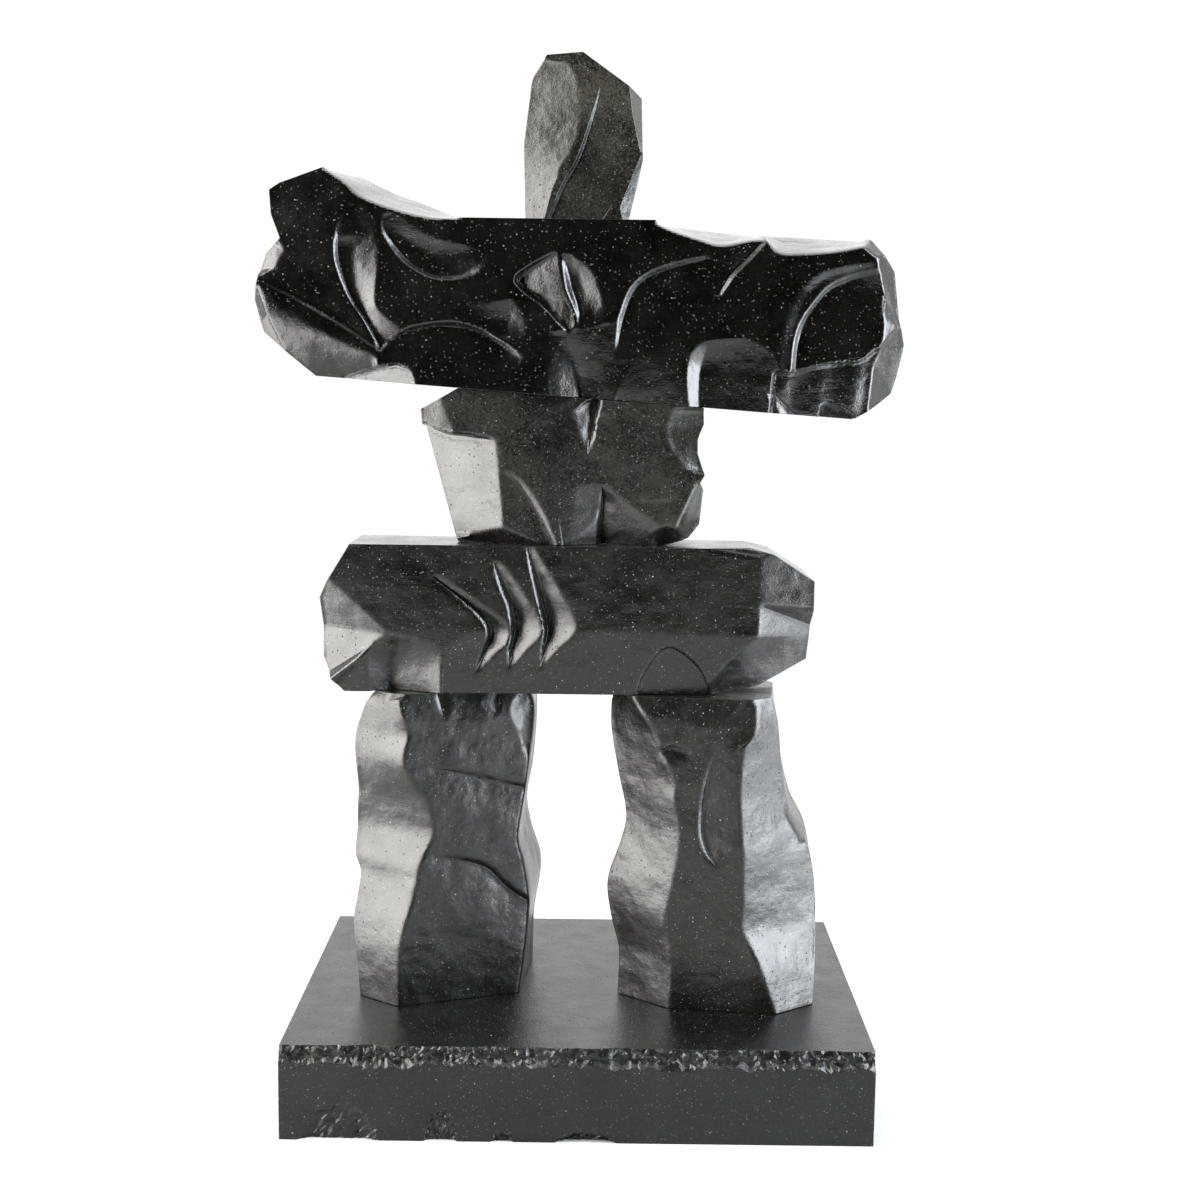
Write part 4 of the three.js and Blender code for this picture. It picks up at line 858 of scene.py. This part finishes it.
# %% [markdown]
# The slab is sawn on all sides. Then its front top edge was broken off with a chisel, and the break
# glitters with crystal faces. A fine grid, crumpled with noise, is laid along the edge and makes the cutter.
# %% The broken edge
# The break in millimetres: how far it drops and reaches back, how much of both wanders, how far its top
# leans back and its lower lip comes forward.
BREAK = dict(drop=13.2, reach=2.6, drop_wanders=1.8, reach_wanders=1.7, lean=2.6, lip=3.4)
BREAK_ROWS, BREAK_COLUMNS = 9, 190


def crumple(sheet, rough, waves, seed):
    """Broken stone: small facets at random, on a larger unevenness."""
    random.seed(seed)
    for point in sheet.data.vertices:
        point.co.y += noise.noise(Vector((point.co.x * 60, seed, point.co.z * 60))) * waves
        point.co += Vector([random.uniform(-rough, rough) for _ in range(3)])


def broken_edge(slab):
    tall = slab["height"]
    rows = []
    for k in range(BREAK_ROWS + 1):
        row = []
        for i in range(BREAK_COLUMNS + 1):
            x = -1 + 102 * i / BREAK_COLUMNS
            uneven = noise.fractal(Vector((x * 0.22, 3.1, 0)), 1.0, 2.0, 3)
            up = tall + 3 - (BREAK["drop"] + BREAK["drop_wanders"] * uneven) * k / BREAK_ROWS
            deep = BREAK["reach"] + BREAK["reach_wanders"] * uneven
            deep += BREAK["lean"] * max(0, up - tall + 4) / 7
            deep -= BREAK["lip"] * max(0, k - 6.5) / 2.5
            row.append((x, up / tall * 100, deep / slab["depth"] * 100))
        rows.append(row)
    sheet = sheet_of(slab, rows)
    crumple(sheet, 0.00055, 0.0012, 3)
    return to_front(slab, sheet, split="BEAUTY")


# %% [markdown]
# A few flakes broke off the slab's bottom edges when it was split. Each is a shallow bowl that runs down to
# the foot of a face.
# %% Flakes, and the slab
# Each flake: its face, from and to along it and how far up in per cent, and how deep in millimetres.
SLAB_FLAKES = [
    ("front", 3, 16.5, 46, 2.6), ("front", 24, 30, 38, 2.2), ("front", 35.5, 39.5, 8, 2),
    ("front", 46, 57, 9, 4), ("back", 22, 34, 40, 3), ("back", 70, 76, 22, 2),
]
FLAKE_ROWS, FLAKE_COLUMNS = 15, 30


def flake(slab, face, start, end, up, deep):
    rows = []
    for k in range(FLAKE_ROWS + 1):
        t = k / FLAKE_ROWS
        row = []
        for i in range(FLAKE_COLUMNS + 1):
            share = -0.15 + 1.3 * i / FLAKE_COLUMNS
            bowl = 1 - (2 * share - 1) ** 2 - (1.25 * t) ** 2
            row.append((start + (end - start) * share, -6 + (up + 12) * t,
                        (deep * min(1, 2.2 * bowl) + 0.4) / slab["depth"] * 100))
        rows.append(row)
    sheet = sheet_of(slab, rows)
    crumple(sheet, 0.0006, 0.0009, int(start))
    return to_front(slab, sheet, face == "back")


def base_slab(slab):
    body = block(slab, [[0, 0], [100, 0], [100, 100], [0, 100]])
    return cut(body, [broken_edge(slab)] + [flake(slab, *places) for places in SLAB_FLAKES])


stand("base_slab", base_slab)

# %% [markdown]
# All of it is black stone, but not one stone. The arms are the blackest and best polished; the others are a
# warmer grey and only honed. Light crystals a half to one millimetre wide are scattered through it, with
# small dark pits that show where a facet is bright. Each stone's pattern is shifted, as if it were cut from
# another place in the quarry.
# %% A helper for materials
class Finish:
    """A material whose nodes are added and linked one line at a time."""

    def __init__(self, name):
        self.material = bpy.data.materials.new(name)
        self.material.use_nodes = True
        self.nodes = self.material.node_tree.nodes
        self.links = self.material.node_tree.links
        self.shader = self.nodes["Principled BSDF"]

    def add(self, kind, inputs, out=0, **settings):
        node = self.nodes.new("ShaderNode" + kind)
        for key, value in settings.items():
            setattr(node, key, value)
        for key, value in inputs.items():
            self.put(node.inputs[key], value)
        return node.outputs[out]

    def put(self, socket, value):
        if isinstance(value, bpy.types.NodeSocket):
            self.links.new(value, socket)
        else:
            socket.default_value = value

    def math(self, operation, a, b=0.0):
        return self.add("Math", {0: a, 1: b}, operation=operation)

    def spread(self, value, low, high, to_low=0.0, to_high=1.0):
        return self.add("MapRange", {"Value": value, "From Min": low, "From Max": high,
                                     "To Min": to_low, "To Max": to_high})

    def noise(self, where, scale, detail=2.0, roughness=0.5):
        return self.add("TexNoise", {"Vector": where, "Scale": scale, "Detail": detail,
                                     "Roughness": roughness})

    def mix(self, factor, a, b):
        return self.add("Mix", {0: factor, 6: a, 7: b}, out=2, data_type="RGBA")

    def stretched(self, where, scale):
        return self.add("Mapping", {"Vector": where, "Scale": scale})

    def specks(self, where, cell, radius, share, soft=0.25):
        """Round specks in metres: one in each cell, of random size, and none in some cells."""
        voronoi = self.nodes.new("ShaderNodeTexVoronoi")
        self.put(voronoi.inputs["Vector"], where)
        voronoi.inputs["Scale"].default_value = 1 / cell
        chance = self.add("SeparateColor", {0: voronoi.outputs["Color"]})
        reach = self.spread(chance, 1 - share, 1, 0, radius / cell)
        gap = self.math("SUBTRACT", reach, voronoi.outputs["Distance"])
        return self.spread(gap, 0, soft * radius / cell)


# %% [markdown]
# A disc leaves fine streaks and a gently waving face. Those are bump; the forms themselves are in the mesh.
# `shift` moves the pattern, `wave` is the height of the waves, `coarse` roughens the fine grain, and `shine`
# is how strongly the stone mirrors.
# %% Honed stone
# Specks in metres: one for each cell of this size, their largest radius, and the share of cells with one.
SMALL_FLECKS, LARGE_FLECKS = (0.0015, 0.00033, 0.75), (0.0034, 0.00044, 0.6)
PITS = (0.0026, 0.00055, 0.85)
PIT_COLOUR = (0.004, 0.004, 0.004, 1)
STREAK_HEIGHT, GRAIN_HEIGHT, PIT_DEPTH = 0.00008, 0.00011, 0.0003


def honed_stone(name, dark, light, crystal, roughness, shift, wave=0.0014, coarse=1.0, shine=0.5):
    honed = Finish(name)
    place = honed.add("TexCoord", {}, out="Object")
    where = honed.add("Mapping", {"Vector": place, "Location": shift})
    mottle = honed.noise(where, 26, 4, 0.6)
    grain = honed.noise(where, 950, 2, 0.6)
    tone = honed.math("ADD", honed.spread(mottle, 0.35, 0.68), honed.spread(grain, 0.35, 0.65, -0.6, 0.6))
    small = honed.specks(where, *SMALL_FLECKS)
    large = honed.specks(where, *LARGE_FLECKS)
    pits = honed.specks(where, *PITS)
    colour = honed.mix(tone, dark, light)
    colour = honed.mix(honed.math("MULTIPLY", small, 0.5), colour, crystal)
    colour = honed.mix(honed.math("MULTIPLY", large, 0.9), colour, crystal)
    colour = honed.mix(honed.math("MULTIPLY", pits, 0.9), colour, PIT_COLOUR)
    honed.put(honed.shader.inputs["Base Color"], colour)
    cloudy = honed.spread(honed.noise(where, 60, 3), 0.3, 0.7, roughness - 0.05, roughness + 0.06)
    matt = honed.math("ADD", cloudy, honed.math("MULTIPLY", pits, 0.4))
    honed.put(honed.shader.inputs["Roughness"], matt)
    honed.shader.inputs["Specular IOR Level"].default_value = shine
    arris = honed.add("Bevel", {"Radius": 0.0006}, samples=6)
    waves = honed.add("Bump", {"Height": honed.noise(where, 42, 3, 0.5), "Distance": wave, "Normal": arris})
    streaks = honed.noise(honed.stretched(where, (90, 90, 620)), 1.0, 3, 0.6)
    streaks = honed.math("MULTIPLY", streaks, STREAK_HEIGHT)
    height = honed.math("ADD", streaks, honed.math("MULTIPLY", grain, GRAIN_HEIGHT * coarse))
    height = honed.math("SUBTRACT", height, honed.math("MULTIPLY", pits, PIT_DEPTH))
    fine = honed.add("Bump", {"Height": height, "Distance": 1.0, "Normal": waves})
    honed.put(honed.shader.inputs["Normal"], fine)
    return honed.material


# %% [markdown]
# The legs and the hips are the darker greys, the torso and the head the paler ones. The slab was only sawn
# and rubbed, so its grain is coarser.
# %% A finish for each stone
def grey(tone):
    """The darkest and the lightest grey in one stone."""
    return (0.0012 * tone, 0.0012 * tone, 0.0009 * tone, 1), (0.0105 * tone, 0.0102 * tone, 0.0084 * tone, 1)


CRYSTAL = (0.19, 0.186, 0.175, 1)
FINISHES = {
    "left_leg": honed_stone("honed_left_leg", *grey(0.35), CRYSTAL, 0.30, (0.3, 0.1, 0.7), wave=0.0018),
    "right_leg": honed_stone("honed_right_leg", *grey(0.5), CRYSTAL, 0.30, (0.9, 0.4, 0.2), wave=0.0018),
    "hip_stone": honed_stone("honed_hip_stone", *grey(0.35), CRYSTAL, 0.28, (0.5, 0.8, 0.4)),
    "torso_stone": honed_stone("honed_torso_stone", *grey(1.2), CRYSTAL, 0.29, (0.2, 0.6, 0.9)),
    "arm_stone": honed_stone("polished_arm_stone", (0.0004, 0.0004, 0.0003, 1), (0.0018, 0.0017, 0.0015, 1),
                             (0.15, 0.146, 0.138, 1), 0.205, (0.7, 0.3, 0.5)),
    "head_stone": honed_stone("honed_head_stone", *grey(2.2), CRYSTAL, 0.30, (0.4, 0.9, 0.1), wave=0.0018),
    "base_slab": honed_stone("sawn_slab", (0.0002, 0.0002, 0.0002, 1), (0.004, 0.004, 0.0042, 1), CRYSTAL,
                             0.32, (0.6, 0.2, 0.3), wave=0.0003, coarse=1.6, shine=0.42),
}
for name, piece in stones.items():
    piece.data.materials.clear()
    piece.data.materials.append(FINISHES[name])
    print(piece.name, "is finished as", FINISHES[name].name)

# %% [markdown]
# The stones stand in a white studio. Black stone shows little of its own colour, so what it mirrors makes
# the picture: a tall soft light on each side and a narrower one at the left front, a pale board beside the
# slab on each side, the white floor in front, and a dark room behind the camera. The camera itself sees
# plain white.
# %% Floor
fresh()
bpy.ops.mesh.primitive_circle_add(vertices=96, radius=1.3, fill_type="NGON", location=(0, 0, 0))
floor = bpy.context.object
floor.name = "floor"
pale = Finish("pale_floor")
pale.shader.inputs["Base Color"].default_value = (0.41, 0.41, 0.41, 1)
pale.shader.inputs["Roughness"].default_value = 0.6
floor.data.materials.append(pale.material)
print("floor", round(floor.dimensions.x, 2), "m across")

# %% Room
world = bpy.data.worlds.new("white_room")
bpy.context.scene.world = world
world.use_nodes = True
room = world.node_tree.nodes
links = world.node_tree.links
direction = room.new("ShaderNodeTexCoord").outputs["Generated"]
split = room.new("ShaderNodeSeparateXYZ")
links.new(direction, split.inputs[0])
back_wall = room.new("ShaderNodeMapRange")
for key, value in {"From Min": -0.7, "From Max": -0.1, "To Min": 0.0, "To Max": 1.8}.items():
    back_wall.inputs[key].default_value = value
links.new(split.outputs["Y"], back_wall.inputs["Value"])
seen = room.new("ShaderNodeLightPath")
strength = room.new("ShaderNodeMix")
links.new(seen.outputs["Is Camera Ray"], strength.inputs[0])
links.new(back_wall.outputs[0], strength.inputs[2])
strength.inputs[3].default_value = 1.05
links.new(strength.outputs[0], room["Background"].inputs["Strength"])
room["Background"].inputs["Color"].default_value = (1, 1, 1, 1)
print("room", world.name, "with", len(room), "nodes")


# %% Soft lights
def softbox(name, place, aim, width, tall, radiance, colour):
    """A soft box of a given brightness: what the stone mirrors is the same at any size."""
    light = bpy.data.lights.new(name, "AREA")
    light.shape = "RECTANGLE"
    light.size, light.size_y = width, tall
    light.energy = radiance * width * tall * math.pi
    light.color = colour
    lamp = bpy.data.objects.new(name, light)
    lamp.location = place
    lamp.rotation_euler = (Vector(aim) - Vector(place)).to_track_quat("-Z", "Y").to_euler()
    lamp.visible_camera = False
    bpy.context.scene.collection.objects.link(lamp)
    print(name, width, "x", tall, "m,", round(light.energy, 1), "W")


softbox("left_window", (-1.23, -0.42, 0.74), (0, 0, 0.6), 0.9, 1.55, 13.5, (1.0, 0.98, 0.94))
softbox("left_curtain", (-0.97, -0.92, 0.70), (0, -0.05, 0.6), 0.42, 1.4, 9.0, (1.0, 0.98, 0.95))
softbox("right_window", (1.21, -0.49, 0.74), (0, 0, 0.6), 0.70, 1.55, 20.0, (0.90, 0.95, 1.0))
softbox("left_board", (-0.70, -0.25, 0.012), (-0.70, -0.25, 1), 0.62, 0.85, 6.5, (1.0, 0.985, 0.95))
softbox("right_board", (0.70, -0.25, 0.012), (0.70, -0.25, 1), 0.62, 0.85, 4.2, (0.90, 0.95, 1.0))
softbox("ceiling", (0, 0.3, 2.2), (0, 0, 0), 2.8, 2.6, 1.2, (1, 1, 1))

# %% [markdown]
# The camera's place was worked out from the seven corners of the slab that show in the photograph.
# %% Camera
CAMERA_AT = Vector((7.75, -986.69, 402.82)) * MM
CAMERA_DOWN, CAMERA_LEFT, CAMERA_ROLL = 7.609, -0.0694, 0.7288
LENS, SENSOR = 53.08, 36.0

eye = bpy.data.cameras.new("camera")
eye.lens, eye.sensor_width, eye.clip_start = LENS, SENSOR, 0.02
camera = bpy.data.objects.new("camera", eye)
look = Matrix.Rotation(math.radians(CAMERA_LEFT), 3, "Z")
look = look @ Matrix.Rotation(math.radians(90 - CAMERA_DOWN), 3, "X")
look = look @ Matrix.Rotation(math.radians(CAMERA_ROLL), 3, "Z")
camera.matrix_world = Matrix.Translation(CAMERA_AT) @ look.to_4x4()
bpy.context.scene.collection.objects.link(camera)
bpy.context.scene.camera = camera
bpy.context.scene.view_settings.view_transform = "Standard"
print("camera", [round(v, 3) for v in CAMERA_AT], "looks down", CAMERA_DOWN, "degrees")
